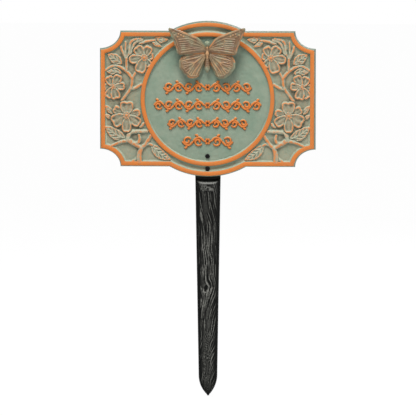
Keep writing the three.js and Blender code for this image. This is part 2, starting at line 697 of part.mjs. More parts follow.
const faceUp = new THREE.Group();
faceUp.add(
  piece("plaque_casting", plaqueCasting(), verdigris),
  piece("butterfly_casting", butterflyCasting(), bronze, [0, thoraxY, PLATE_THICKNESS + BODY_STANDOFF]),
  piece("stake_casting", stakeCasting(), blackPaint),
  piece("stake_screw_upper", screw(stakeScrewLength), blackPaint, [0, upperScrewY, stakeScrewSeat]),
  piece("stake_screw_lower", screw(stakeScrewLength), blackPaint, [0, lowerScrewY, stakeScrewSeat]),
);
const postPlaces = { upper: thoraxY, lower: thoraxY - POST_PITCH };
for (const [place, y] of Object.entries(postPlaces)) {
  const fastener = piece(`butterfly_screw_${place}`, screw(flyScrewLength), zincPlate, [0, y, -SEAT_GAP]);
  fastener.rotation.x = Math.PI;
  faceUp.add(fastener);
}
faceUp.rotation.x = Math.PI / 2;
faceUp.position.z = -SOIL_DEPTH - tipY;

const gardenPlaque = new THREE.Group();
gardenPlaque.add(faceUp);

export default gardenPlaque;
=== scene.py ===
# Garden plaque on a stake: painted castings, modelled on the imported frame.
#
# Shapes are drawn in millimetres face up, as the castings lie in the mould: x to the right, y up the
# plaque and z out of its face, from the medallion's centre on the plaque's back.
import math
from collections import namedtuple

import bpy
import numpy as np
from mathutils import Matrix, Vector


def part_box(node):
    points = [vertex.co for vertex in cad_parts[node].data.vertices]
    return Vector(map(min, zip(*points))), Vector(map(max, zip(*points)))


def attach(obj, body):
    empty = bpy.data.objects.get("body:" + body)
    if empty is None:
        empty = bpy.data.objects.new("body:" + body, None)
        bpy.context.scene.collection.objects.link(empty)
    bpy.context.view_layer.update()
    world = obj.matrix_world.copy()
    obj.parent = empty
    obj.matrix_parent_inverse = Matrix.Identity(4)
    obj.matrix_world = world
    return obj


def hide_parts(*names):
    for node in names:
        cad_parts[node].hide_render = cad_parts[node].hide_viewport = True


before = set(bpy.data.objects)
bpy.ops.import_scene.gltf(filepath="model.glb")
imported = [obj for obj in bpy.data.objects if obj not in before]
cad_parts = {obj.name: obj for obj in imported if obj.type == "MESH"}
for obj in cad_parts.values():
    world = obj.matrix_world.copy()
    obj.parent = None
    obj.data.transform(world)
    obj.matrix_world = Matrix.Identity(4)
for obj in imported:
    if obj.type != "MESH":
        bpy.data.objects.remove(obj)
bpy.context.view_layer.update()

MM = 0.001

# Plaque sizes, from the frame and the casting's own details
plaque_low, plaque_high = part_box("plaque_casting")
CENTRE_Z = (plaque_low.z + plaque_high.z) / 2 / MM
HALF_WIDTH = plaque_high.x / MM
BULGE_RADIUS = (plaque_high.z - plaque_low.z) / 2 / MM
RIM_TOP = (plaque_high.y - plaque_low.y) / MM
BULGE_RISE = 10.3
HALF_HEIGHT = BULGE_RADIUS - BULGE_RISE
NOTCH = np.array([21.0, 18.0])
EDGE_DRAFT = 1.2
RIM_WIDTH = 4.1
RIM_HEIGHT = 3.0
FIELD = RIM_TOP - RIM_HEIGHT
BURIED_Z = FIELD - 0.8
RIM_INSET = EDGE_DRAFT + RIM_WIDTH
CHANNEL_WIDTH = 6.4
RING_WIDTH = 3.8
RING_OUTER = BULGE_RADIUS - RIM_INSET - CHANNEL_WIDTH
RING_INNER = RING_OUTER - RING_WIDTH
RING_MIDDLE = (RING_OUTER + RING_INNER) / 2
PANEL = np.array([HALF_WIDTH - RIM_INSET, HALF_HEIGHT - RIM_INSET])
NOTCH_STEPS = 24
BULGE_STEPS = 60
RING_STEPS = 256
FIELD_RINGS = 90

# Relief sizes
RELIEF_STEP = 0.36
RELIEF_LIMIT = 3.0
RELIEF_MARGIN = 2.0
RELIEF_LEFT = 28.0
PETAL_LIP = 2.7
PETAL_HOLLOW = 1.2
LEAF_HEIGHT = 0.9
WALL_LEAN = 0.75
UPPER_DRAFT = 1.4
DRAFT_PASSES = 6
MOAT_WIDTH = 1.2
MOAT_FLOOR = 0.35
VALLEY_WIDTH = 0.6
VALLEY_FLOOR = 0.7
BLOSSOM_EYE = 0.235
LEAF_VEIN_PITCH = 4.8
SPINE_POINTS = 40

# How well leaves, stems and the blossoms' beads hold copper paint
LEAF_HOLD = 0.85
STEM_HOLD = 0.86
BEAD_HOLD = 2.2

# Butterfly sizes
THORAX_Y = RING_INNER - 15.6
BODY_Z = FIELD + 6.0
BODY_RADIUS = 1.9
BODY_BREADTH = 1.15
POST_SPACING = 12.0
WING_ROOT = BODY_RADIUS / 3
WING_THICKNESS = 1.8
WING_BEVEL = 2.9
WING_RELIEF = 0.44
WING_ROWS = 150
WING_COLUMNS = 90
DOT_RADIUS = 1.2
SCALLOP_DEPTH = 0.42

# Stake sizes
stake_low, stake_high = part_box("stake_casting")
TIP_Y = stake_low.z / MM - CENTRE_Z
TANG_TOP = stake_high.z / MM - CENTRE_Z
STAKE_BACK = -stake_high.y / MM
STAKE_FRONT = -stake_low.y / MM
STAKE_HALF_WIDTH = stake_high.x / MM
STAKE_COLUMNS = 91
FOOT_HALF_WIDTH = 9.5
POINT_LENGTH = 22.0
FOOT_Y = TIP_Y + POINT_LENGTH
TANG_FRONT = -0.3
TANG_CORNER = 6.0
TIP_HALF_WIDTH = 1.0
SHOULDER_RADIUS = BULGE_RADIUS + 2.8
SHOULDER_LEAN = 4.0
SHOULDER_STEEPNESS = (STAKE_FRONT - TANG_FRONT) / SHOULDER_LEAN
LIP_Y = -SHOULDER_RADIUS - SHOULDER_LEAN
GRAIN_DEPTH = 0.9
KNOT = (-1.2, -193.5)
KNOT_RADIUS = (5.6, 6.4)
STRAND_PITCH = 2.3

# Screw sizes
HEAD_RADIUS = 2.4
SHANK_RADIUS = 1.5
HEAD_EDGE = 1.25
HEAD_CROWN = 0.41
RECESS_DEPTH = 0.85


# Colours, written as the sRGB values that a camera would give

def srgb(red, green, blue):
    share = np.array([red, green, blue]) / 255
    linear = np.where(share <= 0.04045, share / 12.92, ((share + 0.055) / 1.055) ** 2.4)
    return (*linear.tolist(), 1.0)


VERDIGRIS = srgb(118, 141, 123)
VERDIGRIS_PALE = srgb(134, 150, 132)
BROWN_WASH = srgb(164, 135, 104)
# Dark green-grey for grime and painted shade
GRIME_AND_SHADE = srgb(58, 62, 50)
# Pale tone for dry-brushing and painted highlights
DRY_BRUSH_AND_HIGHLIGHT = srgb(190, 190, 164)
COPPER = srgb(206, 119, 50)
COPPER_DULL = srgb(198, 117, 57)
# Paler copper where rubbed, also used as a painted highlight on the relief's crests
COPPER_RUBBED_AND_HIGHLIGHT = srgb(203, 143, 97)
BRONZE = srgb(134, 110, 79)
BRONZE_DARK = srgb(112, 85, 61)
BRONZE_BRIGHT = srgb(176, 135, 94)
BRONZE_GREEN = srgb(140, 154, 128)
# For the wings' copper-bright bevels
BRONZE_BRIGHT_EDGE = srgb(196, 126, 76)
STAKE_BLACK = srgb(16, 17, 16)
# Grey of the worn ridges, also used for a painted sheen
STAKE_WEAR_AND_SHEEN = srgb(136, 136, 130)
# Pale band along the stake's lip: worn paint and a painted highlight
STAKE_LIP_WEAR_AND_HIGHLIGHT = srgb(150, 150, 145)
OXIDE_BLACK = srgb(20, 20, 20)
ZINC = srgb(176, 178, 180)
WHITE = (1, 1, 1, 1)


# Curves, noise and distance

def curve(points, count):
    """A curve through the points (Catmull-Rom), as count points evenly spaced along it."""
    knots = np.asarray(points, float)
    padded = np.vstack([2 * knots[0] - knots[1], knots, 2 * knots[-1] - knots[-2]])
    steps_between = 24
    t = np.linspace(0, 1, steps_between, endpoint=False)[:, None]
    stretches = []
    for a, b, c, d in zip(padded, padded[1:], padded[2:], padded[3:]):
        cubic = (2 * b) + (c - a) * t + (2 * a - 5 * b + 4 * c - d) * t**2 + (3 * b - a - 3 * c + d) * t**3
        stretches.append(cubic / 2)
    return spaced(np.vstack([*stretches, knots[-1:]]), count)


def spaced(path, count):
    """The same path as count points, evenly spaced."""
    run = np.concatenate([[0], np.cumsum(np.linalg.norm(np.diff(path, axis=0), axis=1))])
    stations = np.linspace(0, run[-1], count)
    return np.stack([np.interp(stations, run, path[:, k]) for k in range(path.shape[1])], axis=1)


def bearing(turn):
    """The unit vectors at angles in radians."""
    return np.stack([np.cos(turn), np.sin(turn)], axis=-1)


def ramp(low, high, value):
    share = np.clip((value - low) / (high - low), 0, 1)
    return share * share * (3 - 2 * share)


def hump(value, middle, spread):
    """A bell curve, 1 in its middle."""
    return np.exp(-(((value - middle) / spread) ** 2))


def dome(distance, radius):
    """A half ball's height at a distance from its middle, 1 at the top."""
    return np.sqrt(np.clip(1 - (distance / radius) ** 2, 0, 1))


def noise(x, y, seed, size=1):
    """Smooth noise from 0 to 1, in blotches of about the given size."""
    count = 128
    table = np.random.default_rng(seed).random((count, count))
    x, y = x / size, y / size
    column, row = np.floor(x).astype(int), np.floor(y).astype(int)
    across, up = ramp(0, 1, x - column), ramp(0, 1, y - row)
    corner = lambda i, j: table[(row + j) % count, (column + i) % count]
    low = corner(0, 0) * (1 - across) + corner(1, 0) * across
    high = corner(0, 1) * (1 - across) + corner(1, 1) * across
    return low * (1 - up) + high * up


def path_distance(x, y, path):
    """Distance of each point from a path, and where along the path (0 to 1) its nearest point lies."""
    nearest = np.full(x.shape, np.inf)
    share = np.zeros(x.shape)
    pieces = len(path) - 1
    for i, ((ax, ay), (bx, by)) in enumerate(zip(path, path[1:])):
        dx, dy = bx - ax, by - ay
        t = np.clip(((x - ax) * dx + (y - ay) * dy) / (dx * dx + dy * dy + 1e-12), 0, 1)
        distance = np.hypot(x - ax - t * dx, y - ay - t * dy)
        closer = distance < nearest
        nearest = np.where(closer, distance, nearest)
        share = np.where(closer, (i + t) / pieces, share)
    return nearest, share


def within_outline(x, y, corners):
    """True for points inside a closed outline."""
    inside = np.zeros(x.shape, bool)
    for (ax, ay), (bx, by) in zip(corners, np.roll(corners, -1, axis=0)):
        if ay != by:
            crossing = ax + (y - ay) * (bx - ax) / (by - ay)
            inside ^= ((ay > y) != (by > y)) & (x < crossing)
    return inside


def blurred(grid, sigma):
    """A Gaussian blur, sigma in grid steps."""
    pad = int(4 * sigma) + 1
    wide = np.pad(grid, pad, mode="edge")
    rows = np.fft.fftfreq(wide.shape[0])[:, None]
    columns = np.fft.rfftfreq(wide.shape[1])[None, :]
    falloff = np.exp(-2 * (math.pi * sigma) ** 2 * (rows**2 + columns**2))
    soft = np.fft.irfft2(np.fft.rfft2(wide) * falloff, wide.shape)
    return soft[pad:-pad, pad:-pad]


# Meshes

# A node of the frame, with the slot and the material of what takes its place.
Part = namedtuple("Part", "node slot material")


def in_frame(points):
    """Drawing points in millimetres as points of the frame in metres."""
    x, y, z = np.asarray(points, float).T
    return np.stack([x, -z, CENTRE_Z + y], axis=1) * MM


def ring_at(outline, z):
    return np.column_stack([outline, np.full(len(outline), z)])


def circle(radius, z, steps=RING_STEPS):
    turn = np.linspace(0, 2 * math.pi, steps, endpoint=False)
    return ring_at(radius * bearing(turn), z)


def loft(rings, capped=True):
    """Points and faces of a skin through rings, anticlockwise seen from the last, capped or joined up."""
    index = np.arange(len(rings) * len(rings[0])).reshape(len(rings), -1)
    caps = [index[0, ::-1].tolist(), index[-1].tolist()] if capped else []
    if not capped:
        index = np.vstack([index, index[:1]])
    ahead = np.roll(index, -1, axis=1)
    strips = np.stack([index[:-1], ahead[:-1], ahead[1:], index[1:]], axis=-1)
    return np.concatenate(rings), strips.reshape(-1, 4).tolist() + caps


def turned(faces):
    return [face[::-1] for face in faces]


def block(top, bottom, paint, kept=None, paint_under=1):
    """A closed block between two grids of points, rows along y and columns along x, where kept is true.

    Paint holds grids of amounts, which come back as masks for the block's points.
    """
    rows, columns = top.shape[:2]
    if kept is None:
        kept = np.ones((rows - 1, columns - 1), bool)
    index = np.arange(rows * columns).reshape(rows, columns)
    under = rows * columns
    corners = np.stack([index[:-1, :-1], index[:-1, 1:], index[1:, 1:], index[1:, :-1]], axis=-1)
    cells = corners[kept]
    faces = [cells, cells[:, ::-1] + under]
    edged = np.pad(kept, 1)
    beside = [edged[:-2, 1:-1], edged[1:-1, 2:], edged[2:, 1:-1], edged[1:-1, :-2]]
    for side, neighbour in enumerate(beside):
        rim = corners[kept & ~neighbour]
        a, b = rim[:, side], rim[:, (side + 1) % 4]
        faces.append(np.stack([a, a + under, b + under, b], axis=1))
    faces = np.concatenate(faces)
    used, renumbered = np.unique(faces, return_inverse=True)
    points = np.concatenate([top.reshape(-1, 3), bottom.reshape(-1, 3)])[used]
    masks = {}
    for name, amounts in paint.items():
        masks[name] = np.concatenate([amounts.ravel(), paint_under * amounts.ravel()])[used]
    return points, renumbered.reshape(faces.shape).tolist(), masks


def add_object(name, data):
    made = bpy.data.objects.new(name, data)
    bpy.context.scene.collection.objects.link(made)
    return made


def make_piece(name, points, faces, part, masks=None, crease=40):
    """A piece of a part, sharp where faces meet at more than crease degrees, with masks for its paint."""
    node, slot, material = part
    mesh = bpy.data.meshes.new(name)
    mesh.from_pydata(in_frame(points).tolist(), [], faces)
    mesh.shade_smooth()
    mesh.set_sharp_from_angle(angle=math.radians(crease))
    for paint, amounts in (masks or {}).items():
        layer = mesh.attributes.new(paint, "FLOAT", "POINT")
        layer.data.foreach_set("value", np.asarray(amounts, np.float32))
    mesh.materials.append(material)
    piece = add_object(name, mesh)
    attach(piece, "root")
    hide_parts(node)


# Materials

def set_inputs(tree, made, inputs):
    """Sets a node's inputs to values, or links them to what other nodes give."""
    for name, value in inputs.items():
        if isinstance(value, bpy.types.NodeSocket):
            tree.links.new(value, made.inputs[name])
        else:
            made.inputs[name].default_value = value


def add_node(tree, kind, inputs=None, **settings):
    made = tree.nodes.new(kind)
    for name, value in settings.items():
        setattr(made, name, value)
    set_inputs(tree, made, inputs or {})
    return made


def remapped(tree, value, low, high, to_low=0.0, to_high=1.0):
    inputs = {"Value": value, "From Min": low, "From Max": high, "To Min": to_low, "To Max": to_high}
    return add_node(tree, "ShaderNodeMapRange", inputs, interpolation_type="SMOOTHSTEP").outputs[0]


def reckoned(tree, operation, first, second):
    return add_node(tree, "ShaderNodeMath", {0: first, 1: second}, operation=operation).outputs[0]


def mottle(tree, size_mm):
    """Noise in the material's own space, with blotches of about size_mm."""
    place = add_node(tree, "ShaderNodeTexCoord").outputs["Object"]
    inputs = {"Vector": place, "Scale": 1 / (size_mm * MM), "Detail": 4.0, "Roughness": 0.55}
    return add_node(tree, "ShaderNodeTexNoise", inputs).outputs["Fac"]


def mask(tree, name):
    return add_node(tree, "ShaderNodeAttribute", attribute_name=name).outputs["Fac"]


def broken(tree, name, grain, *spread, operation="MULTIPLY"):
    """A mask broken up by a grain that is spread from one range to another."""
    return reckoned(tree, operation, mask(tree, name), remapped(tree, grain, *spread))


def layered(tree, colour, *coats):
    """A colour under further ones, each of which has a factor and covers what is under it by that much."""
    for factor, over in coats:
        inputs = {0: factor, 6: colour, 7: over}
        colour = add_node(tree, "ShaderNodeMix", inputs, data_type="RGBA").outputs[2]
    return colour


def new_material(name):
    material = bpy.data.materials.new(name)
    material.use_nodes = True
    tree = material.node_tree
    return material, tree, tree.nodes["Principled BSDF"]


def coat(tree, shader, colour, fine, roughness, specular, grain, metallic=0.0):
    """Gives a shader its colour, its sheen and a cast surface's fine grain: size, strength and depth."""
    size_mm, strength, depth_mm = grain
    bump = {"Height": mottle(tree, size_mm), "Strength": strength, "Distance": depth_mm * MM}
    set_inputs(tree, shader, {
        "Base Color": colour,
        "Roughness": remapped(tree, fine, 0.3, 0.7, *roughness),
        "Specular IOR Level": specular,
        "Metallic": metallic,
        "Normal": add_node(tree, "ShaderNodeBump", bump).outputs[0],
    })


def casting_paint():
    """Matt verdigris with brown wash, grime and painted shade in hollows, pale dry-brushing and painted
    highlights on ridges and upward slopes, and copper on top with a paler painted highlight on the crests.
    """
    material, tree, shader = new_material("verdigris_and_copper")
    broad, fine = mottle(tree, 14), mottle(tree, 2.2)
    ragged = broken(tree, "copper", fine, 0.2, 0.8, -0.18, 0.18, operation="ADD")
    copper = layered(
        tree, COPPER,
        (remapped(tree, broad, 0.35, 0.65), COPPER_DULL),
        # Paler copper where rubbed, and a painted highlight on the relief's crests
        (mask(tree, "rubbed_and_highlight"), COPPER_RUBBED_AND_HIGHLIGHT),
    )
    painted = layered(
        tree, VERDIGRIS,
        (remapped(tree, broad, 0.3, 0.7), VERDIGRIS_PALE),
        (broken(tree, "wash", fine, 0.3, 0.7, 0.3, 0.8), BROWN_WASH),
        # Grime, and painted shade in hollows, moats, creases, on the strokes' shaded sides and the plate's
        # outer edge
        (broken(tree, "grime_and_shade", fine, 0.2, 0.7, 0.5, 1.0), GRIME_AND_SHADE),
        # Pale dry-brushing on ridges, and painted highlights on slopes that face up
        (broken(tree, "brushed_and_highlight", fine, 0.3, 0.7, 0.5, 1.0), DRY_BRUSH_AND_HIGHLIGHT),
        (remapped(tree, ragged, 0.3, 0.75), copper),
    )
    coat(tree, shader, painted, fine, roughness=(0.5, 0.72), specular=0.35, grain=(1.3, 0.5, 0.14))
    return material


def antique_bronze():
    """Brown antique copper, bright on the veins and greenish towards the edges, darkened by grime and painted
    shade.
    """
    material, tree, shader = new_material("antique_bronze")
    broad, fine = mottle(tree, 9), mottle(tree, 1.8)
    ragged = broken(tree, "copper", fine, 0.2, 0.8, -0.2, 0.2, operation="ADD")
    painted = layered(
        tree, BRONZE,
        (remapped(tree, broad, 0.35, 0.65), BRONZE_DARK),
        # Grime, and painted shade in the wings' hollows, by the body, on the body's sides and on the posts
        (mask(tree, "grime_and_shade"), BRONZE_DARK),
        (broken(tree, "patina", fine, 0.3, 0.7, 0.3, 1.0), BRONZE_GREEN),
        (remapped(tree, ragged, 0.3, 0.9), BRONZE_BRIGHT),
        # Copper-bright bevels, more of them towards the right
        (mask(tree, "rubbed_and_highlight"), BRONZE_BRIGHT_EDGE),
    )
    coat(tree, shader, painted, fine, roughness=(0.42, 0.65), specular=0.45, grain=(0.8, 0.3, 0.1))
    return material


def stake_paint():
    """Black paint, worn to grey along the ridges of the cast wood grain, with a painted sheen down the middle
    of the front and a pale band along the lip: worn paint and a painted highlight.
    """
    material, tree, shader = new_material("black_stake_paint")
    fine = mottle(tree, 2.2)
    painted = layered(
        tree, STAKE_BLACK,
        # Grey wear on the grain's ridges, a painted sheen down the front's middle and a faint painted lift on
        # the shaded tang
        (broken(tree, "ridge_wear_and_sheen", fine, 0.25, 0.75, 0.35, 1.0), STAKE_WEAR_AND_SHEEN),
        # A pale band along the lip under the plaque: worn paint and a painted highlight
        (mask(tree, "lip_wear_and_highlight"), STAKE_LIP_WEAR_AND_HIGHLIGHT),
    )
    coat(tree, shader, painted, fine, roughness=(0.42, 0.62), specular=0.05, grain=(1.2, 0.3, 0.15))
    return material


def screw_finish(name, colour, metallic, roughness):
    material, tree, shader = new_material(name)
    fine = mottle(tree, 0.7)
    shade = (*(0.7 * channel for channel in colour[:3]), 1.0)
    plating = layered(tree, colour, (remapped(tree, fine, 0.35, 0.65), shade))
    sheen = (roughness, roughness + 0.15)
    coat(tree, shader, plating, fine, sheen, specular=0.15, grain=(0.4, 0.15, 0.03), metallic=metallic)
    return material


# Plaque: plate with rim, ring and medallion field

def plaque_outline(inset):
    """The plaque's outline drawn in from its outer edge, anticlockwise from the right edge's top."""
    notch = NOTCH + inset
    first = -math.pi / 2 - math.asin(inset / notch[0])
    last = math.asin(inset / notch[1]) - math.pi
    corner = np.array([HALF_WIDTH, HALF_HEIGHT]) + notch * bearing(np.linspace(first, last, NOTCH_STEPS))
    bulge = BULGE_RADIUS - inset
    spring = math.asin((HALF_HEIGHT - inset) / bulge)
    crown = bulge * bearing(np.linspace(spring, math.pi / 2, BULGE_STEPS))
    quarter = np.vstack([corner, crown[:-1]])
    half = np.vstack([quarter, crown[-1:], quarter[::-1] * [-1, 1]])
    return np.vstack([half, -half])


def plate(part):
    """The plate and its rim: rows are inset, height, and amounts of copper, grime with painted shade, wash,
    and pale brushing with painted highlight.
    """
    inner = RIM_INSET
    profile = [
        (0.8, 0.0, 0, 0.6, 0.2, 0),
        (0.0, 0.8, 0, 0.6, 0.2, 0),
        (EDGE_DRAFT - 0.15, RIM_TOP - 0.7, 0, 0.6, 0, 0),
        (EDGE_DRAFT + 0.05, RIM_TOP - 0.25, 0.25, 0, 0, 0),
        (EDGE_DRAFT + 0.45, RIM_TOP - 0.02, 1, 0, 0, 0),
        (EDGE_DRAFT + RIM_WIDTH / 2, RIM_TOP, 1, 0, 0, 0),
        (inner - 0.45, RIM_TOP - 0.02, 1, 0, 0, 0),
        (inner - 0.05, RIM_TOP - 0.25, 1, 0, 0, 0),
        (inner + 0.2, RIM_TOP - 0.75, 0.6, 0, 0, 0),
        (inner + 0.65, FIELD + 1.15, 0, 0, 0, 0.6),
        (inner + 1.1, FIELD + 0.62, 0, 0, 0, 0.6),
        (inner + 1.7, FIELD + 0.32, 0, 0, 0.15, 0.5),
        (inner + 2.4, FIELD, 0, 0.1, 0.7, 0),
    ]
    rings = [ring_at(plaque_outline(inset), z) for inset, z, *_ in profile]
    points, faces = loft(rings)
    paints = zip(("copper", "grime_and_shade", "wash", "brushed_and_highlight"), np.transpose(profile)[2:])
    masks = {name: np.repeat(amounts, len(rings[0])) for name, amounts in paints}
    # Painted shade on the plate's outer sides, strongest towards the top.
    masks["grime_and_shade"] *= 0.25 + 0.75 * ramp(0, HALF_HEIGHT, points[:, 1])
    # Painted highlight on the rim's inner slopes in the lower half, which face up.
    masks["brushed_and_highlight"] *= ramp(0, -0.8 * HALF_HEIGHT, points[:, 1])
    make_piece("plaque_plate", points, faces, part, masks)


def medallion_ring(part):
    """The ring round the medallion: rows are how far out from its edge, height and amount of copper."""
    half_profile = [
        (2.05, BURIED_Z, 0),
        (2.0, FIELD + 0.02, 0),
        (1.35, FIELD + 0.3, 0),
        (0.85, FIELD + 0.65, 0),
        (0.55, FIELD + 1.15, 0),
        (0.2, RIM_TOP - 0.75, 0.6),
        (-0.05, RIM_TOP - 0.25, 1),
        (-0.45, RIM_TOP - 0.02, 1),
    ]
    outside = [(RING_OUTER + out, z, copper) for out, z, copper in half_profile]
    inside = [(RING_INNER - out, z, copper) for out, z, copper in half_profile[::-1]]
    profile = [*outside, (RING_MIDDLE, RIM_TOP, 1), *inside]
    points, faces = loft([circle(radius, z) for radius, z, _ in profile], capped=False)
    x, y, z = points.T
    outer = np.hypot(x, y) > RING_MIDDLE
    facing_up = ramp(0, 0.9 * RING_INNER, np.where(outer, y, -y))
    foot = (z > FIELD) & (z < FIELD + 1.2)
    # Painted shade and grime at the ring's foot, and a painted highlight on the foot's slopes that face up
    masks = {
        "copper": np.repeat([copper for _, _, copper in profile], RING_STEPS),
        "grime_and_shade": 0.2 * (z < FIELD + 0.1),
        "brushed_and_highlight": 0.6 * foot * facing_up,
    }
    make_piece("medallion_ring", points, faces, part, masks)


def medallion_field(strokes, part):
    """The medallion's floor, gently uneven as a sand casting is, with painted shade and grime by the ring and
    among the vines' strokes.
    """
    edge = RING_INNER - 0.3
    rings = [circle(edge, BURIED_Z)]
    for radius in np.linspace(edge, 0.5, FIELD_RINGS):
        ring = circle(radius, FIELD + 0.03)
        x, y, _ = ring.T
        ring[:, 2] += 0.12 * noise(x, y, 3, 7) + 0.34 * noise(x, y, 4, 2.5)
        rings.append(ring)
    points, faces = loft(rings)
    by_ring = ramp(RING_INNER - 4, RING_INNER, np.hypot(points[:, 0], points[:, 1]))
    masks = {
        "grime_and_shade": np.maximum(0.12 * by_ring, 0.95 * vine_shade(strokes, points)),
        "wash": np.full(len(points), 0.12),
    }
    make_piece("medallion_field", points, faces, part, masks)


# Relief: a height map for one panel, and its mirror image for the other

# Places are shares of the panel's half width and half height. Each blossom has a place and petals, each with
# an angle in degrees, a reach and a width in millimetres, and how square its end is (0 to 1).
BLOSSOMS = [
    ((0.616, 0.656), [(168, 9.8, 7.5, 0.2), (238, 11, 8, 0.2), (116, 12.4, 8.8, 0.3), (53, 13.6, 10.6, 0.4),
                      (351, 16, 9, 0.1), (289, 16.4, 11.4, 0.3)]),
    ((0.918, 0.194), [(352, 9.5, 8, 0.3), (61, 11.5, 9, 0.5), (118, 13, 9, 0.3), (178, 12, 7.6, 0.4),
                      (300, 13, 8.4, 0.4), (256, 13, 9.8, 0.8)]),
    ((0.789, -0.264), [(167, 14.5, 7, 0.3), (27, 15, 8, 0.6), (91, 14, 13.6, 0.9), (332, 16.5, 13, 0.7),
                       (213, 16.5, 10, 0.3), (270, 17.5, 9.8, 0.2)]),
]
# Each leaf has a width, as a share of the way from end to end, and runs through its points to its tip.
LEAVES = [
    (0.44, [(0.801, -0.636), (0.891, -0.573), (1, -0.442)]),
    (0.4, [(0.545, -0.736), (0.469, -0.868), (0.36, -0.969)]),
    (0.56, [(0.834, 0.558), (0.972, 0.713)]),
    (0.46, [(0.839, 0.411), (1, 0.465)]),
    (0.24, [(0.777, 0.667), (0.754, 0.83), (0.711, 0.922), (0.626, 0.969)]),
    (0.42, [(0.54, 0.93), (0.384, 0.946)]),
    (0.42, [(0.54, 0.907), (0.45, 0.829)]),
    (0.42, [(0.924, -0.24), (1, -0.101)]),
    (0.44, [(0.934, -0.318), (1.005, -0.248)]),
    (0.44, [(0.664, -0.457), (0.611, -0.38)]),
]
# Each stem has half widths at its ends, the points that it runs through and, where it isn't STEM_HOLD, how
# well it holds copper.
STEMS = [
    (2.5, 2.0, [(0.664, -1.008), (0.664, -0.884), (0.645, -0.783)]),
    (1.2, 1.3, [(0.668, -0.884), (0.697, -0.953), (0.735, -1.008)]),
    (1.8, 1.4, [(0.645, -0.783), (0.604, -0.721), (0.573, -0.643), (0.545, -0.566)]),
    (1.3, 1.1, [(0.604, -0.729), (0.569, -0.721), (0.54, -0.741)]),
    (1.8, 2.2, [(0.645, -0.783), (0.687, -0.744), (0.73, -0.705), (0.777, -0.651)]),
    (1.9, 1.1, [(0.777, -0.659), (0.853, -0.69), (0.934, -0.752)]),
    (2.0, 1.4, [(0.777, -0.643), (0.768, -0.581), (0.735, -0.527), (0.588, -0.516)], 0.52),
    (1.8, 1.3, [(0.728, -0.705), (0.7, -0.712), (0.673, -0.69), (0.661, -0.635), (0.668, -0.578)]),
    (1.3, 1.6, [(0.834, -0.031), (0.754, 0.152), (0.737, 0.233), (0.733, 0.333)]),
    (1.5, 1.3, [(0.749, 0.16), (0.701, 0.177), (0.645, 0.229)]),
    (1.6, 1.1, [(0.733, 0.333), (0.801, 0.453), (0.9, 0.527), (1.005, 0.447)]),
    (1.5, 0.9, [(0.791, 0.45), (0.788, 0.589), (0.798, 0.76), (0.797, 0.9)]),
    (1.4, 1.1, [(0.733, 0.333), (0.716, 0.38), (0.7, 0.419)]),
    (1.4, 1.1, [(0.658, 0.875), (0.62, 0.902), (0.569, 0.922), (0.512, 0.935)]),
    (1.5, 1.2, [(0.788, 0.63), (0.813, 0.709), (0.831, 0.768), (0.842, 0.83)]),
    (1.5, 1.2, [(0.787, 0.6), (0.762, 0.739), (0.7525, 0.87), (0.72, 0.935), (0.65, 0.96)]),
    (1.45, 1.2, [(0.775, 0.63), (0.732, 0.789), (0.718, 0.86), (0.69, 0.905), (0.637, 0.935)]),
]


class Relief:
    """A height map in millimetres above the field, on a square grid, and how well it holds copper paint."""

    def __init__(self, left, right, bottom, top):
        self.corner = np.array([left, bottom])
        self.x, self.y = np.meshgrid(np.arange(left, right, RELIEF_STEP), np.arange(bottom, top, RELIEF_STEP))
        self.height = np.zeros(self.x.shape)
        self.hold = np.zeros(self.x.shape)

    def window(self, points, margin):
        """The part of the grid within margin of the points, and the x and y of its places."""
        low = (np.min(points, axis=0) - margin - self.corner) / RELIEF_STEP
        high = (np.max(points, axis=0) + margin - self.corner) / RELIEF_STEP
        low = np.maximum(low.astype(int), 0)
        high = np.maximum(high.astype(int) + 2, 0)
        window = slice(low[1], high[1]), slice(low[0], high[0])
        return window, self.x[window], self.y[window]

    def lay(self, window, height, hold=0.0, moat=None, floor=MOAT_FLOOR):
        """Raises the map to a new form, first cutting a moat down to a floor in what it lies on."""
        under = self.height[window]
        if moat is not None:
            under = np.where(moat, np.minimum(under, floor), under)
        self.hold[window] = np.where(height > under, hold, self.hold[window])
        self.height[window] = np.maximum(under, height)

    def lay_together(self, forms):
        """Lays forms, each a window, height, hold, moat and valley, after the moats of them all.

        The valley is the moat that a form cuts into those laid just before it, or None.
        """
        for window, _, _, moat, _ in forms:
            self.lay(window, 0, moat=moat)
        for window, height, hold, _, valley in forms:
            self.lay(window, height, hold, valley, VALLEY_FLOOR)

    def stem(self, first, last, points, hold=STEM_HOLD):
        """A stem as a form to lay, with no valley."""
        path = curve(PANEL * points, SPINE_POINTS)
        window, x, y = self.window(path, 3)
        distance, share = path_distance(x, y, path)
        radius = 1.12 * (first + (last - first) * share)
        bark = 1 + 0.2 * (noise(x / 1.1, y / 2.2, 11) - 0.5)
        foot = ramp(radius + 1.2, 0.8 * radius, distance)
        height = bark * radius * (1.05 * dome(distance, 1.1 * radius) + 0.2 * foot)
        return window, height, hold, distance < radius + 0.5 * MOAT_WIDTH, None

    def bead(self, centre, radius, base, rise):
        """A round button that rises from base in a dome."""
        window, x, y = self.window(np.array([centre]), radius)
        distance = np.hypot(x - centre[0], y - centre[1])
        height = base + rise * dome(distance, radius)
        self.lay(window, np.where(distance < radius, height, 0), BEAD_HOLD)


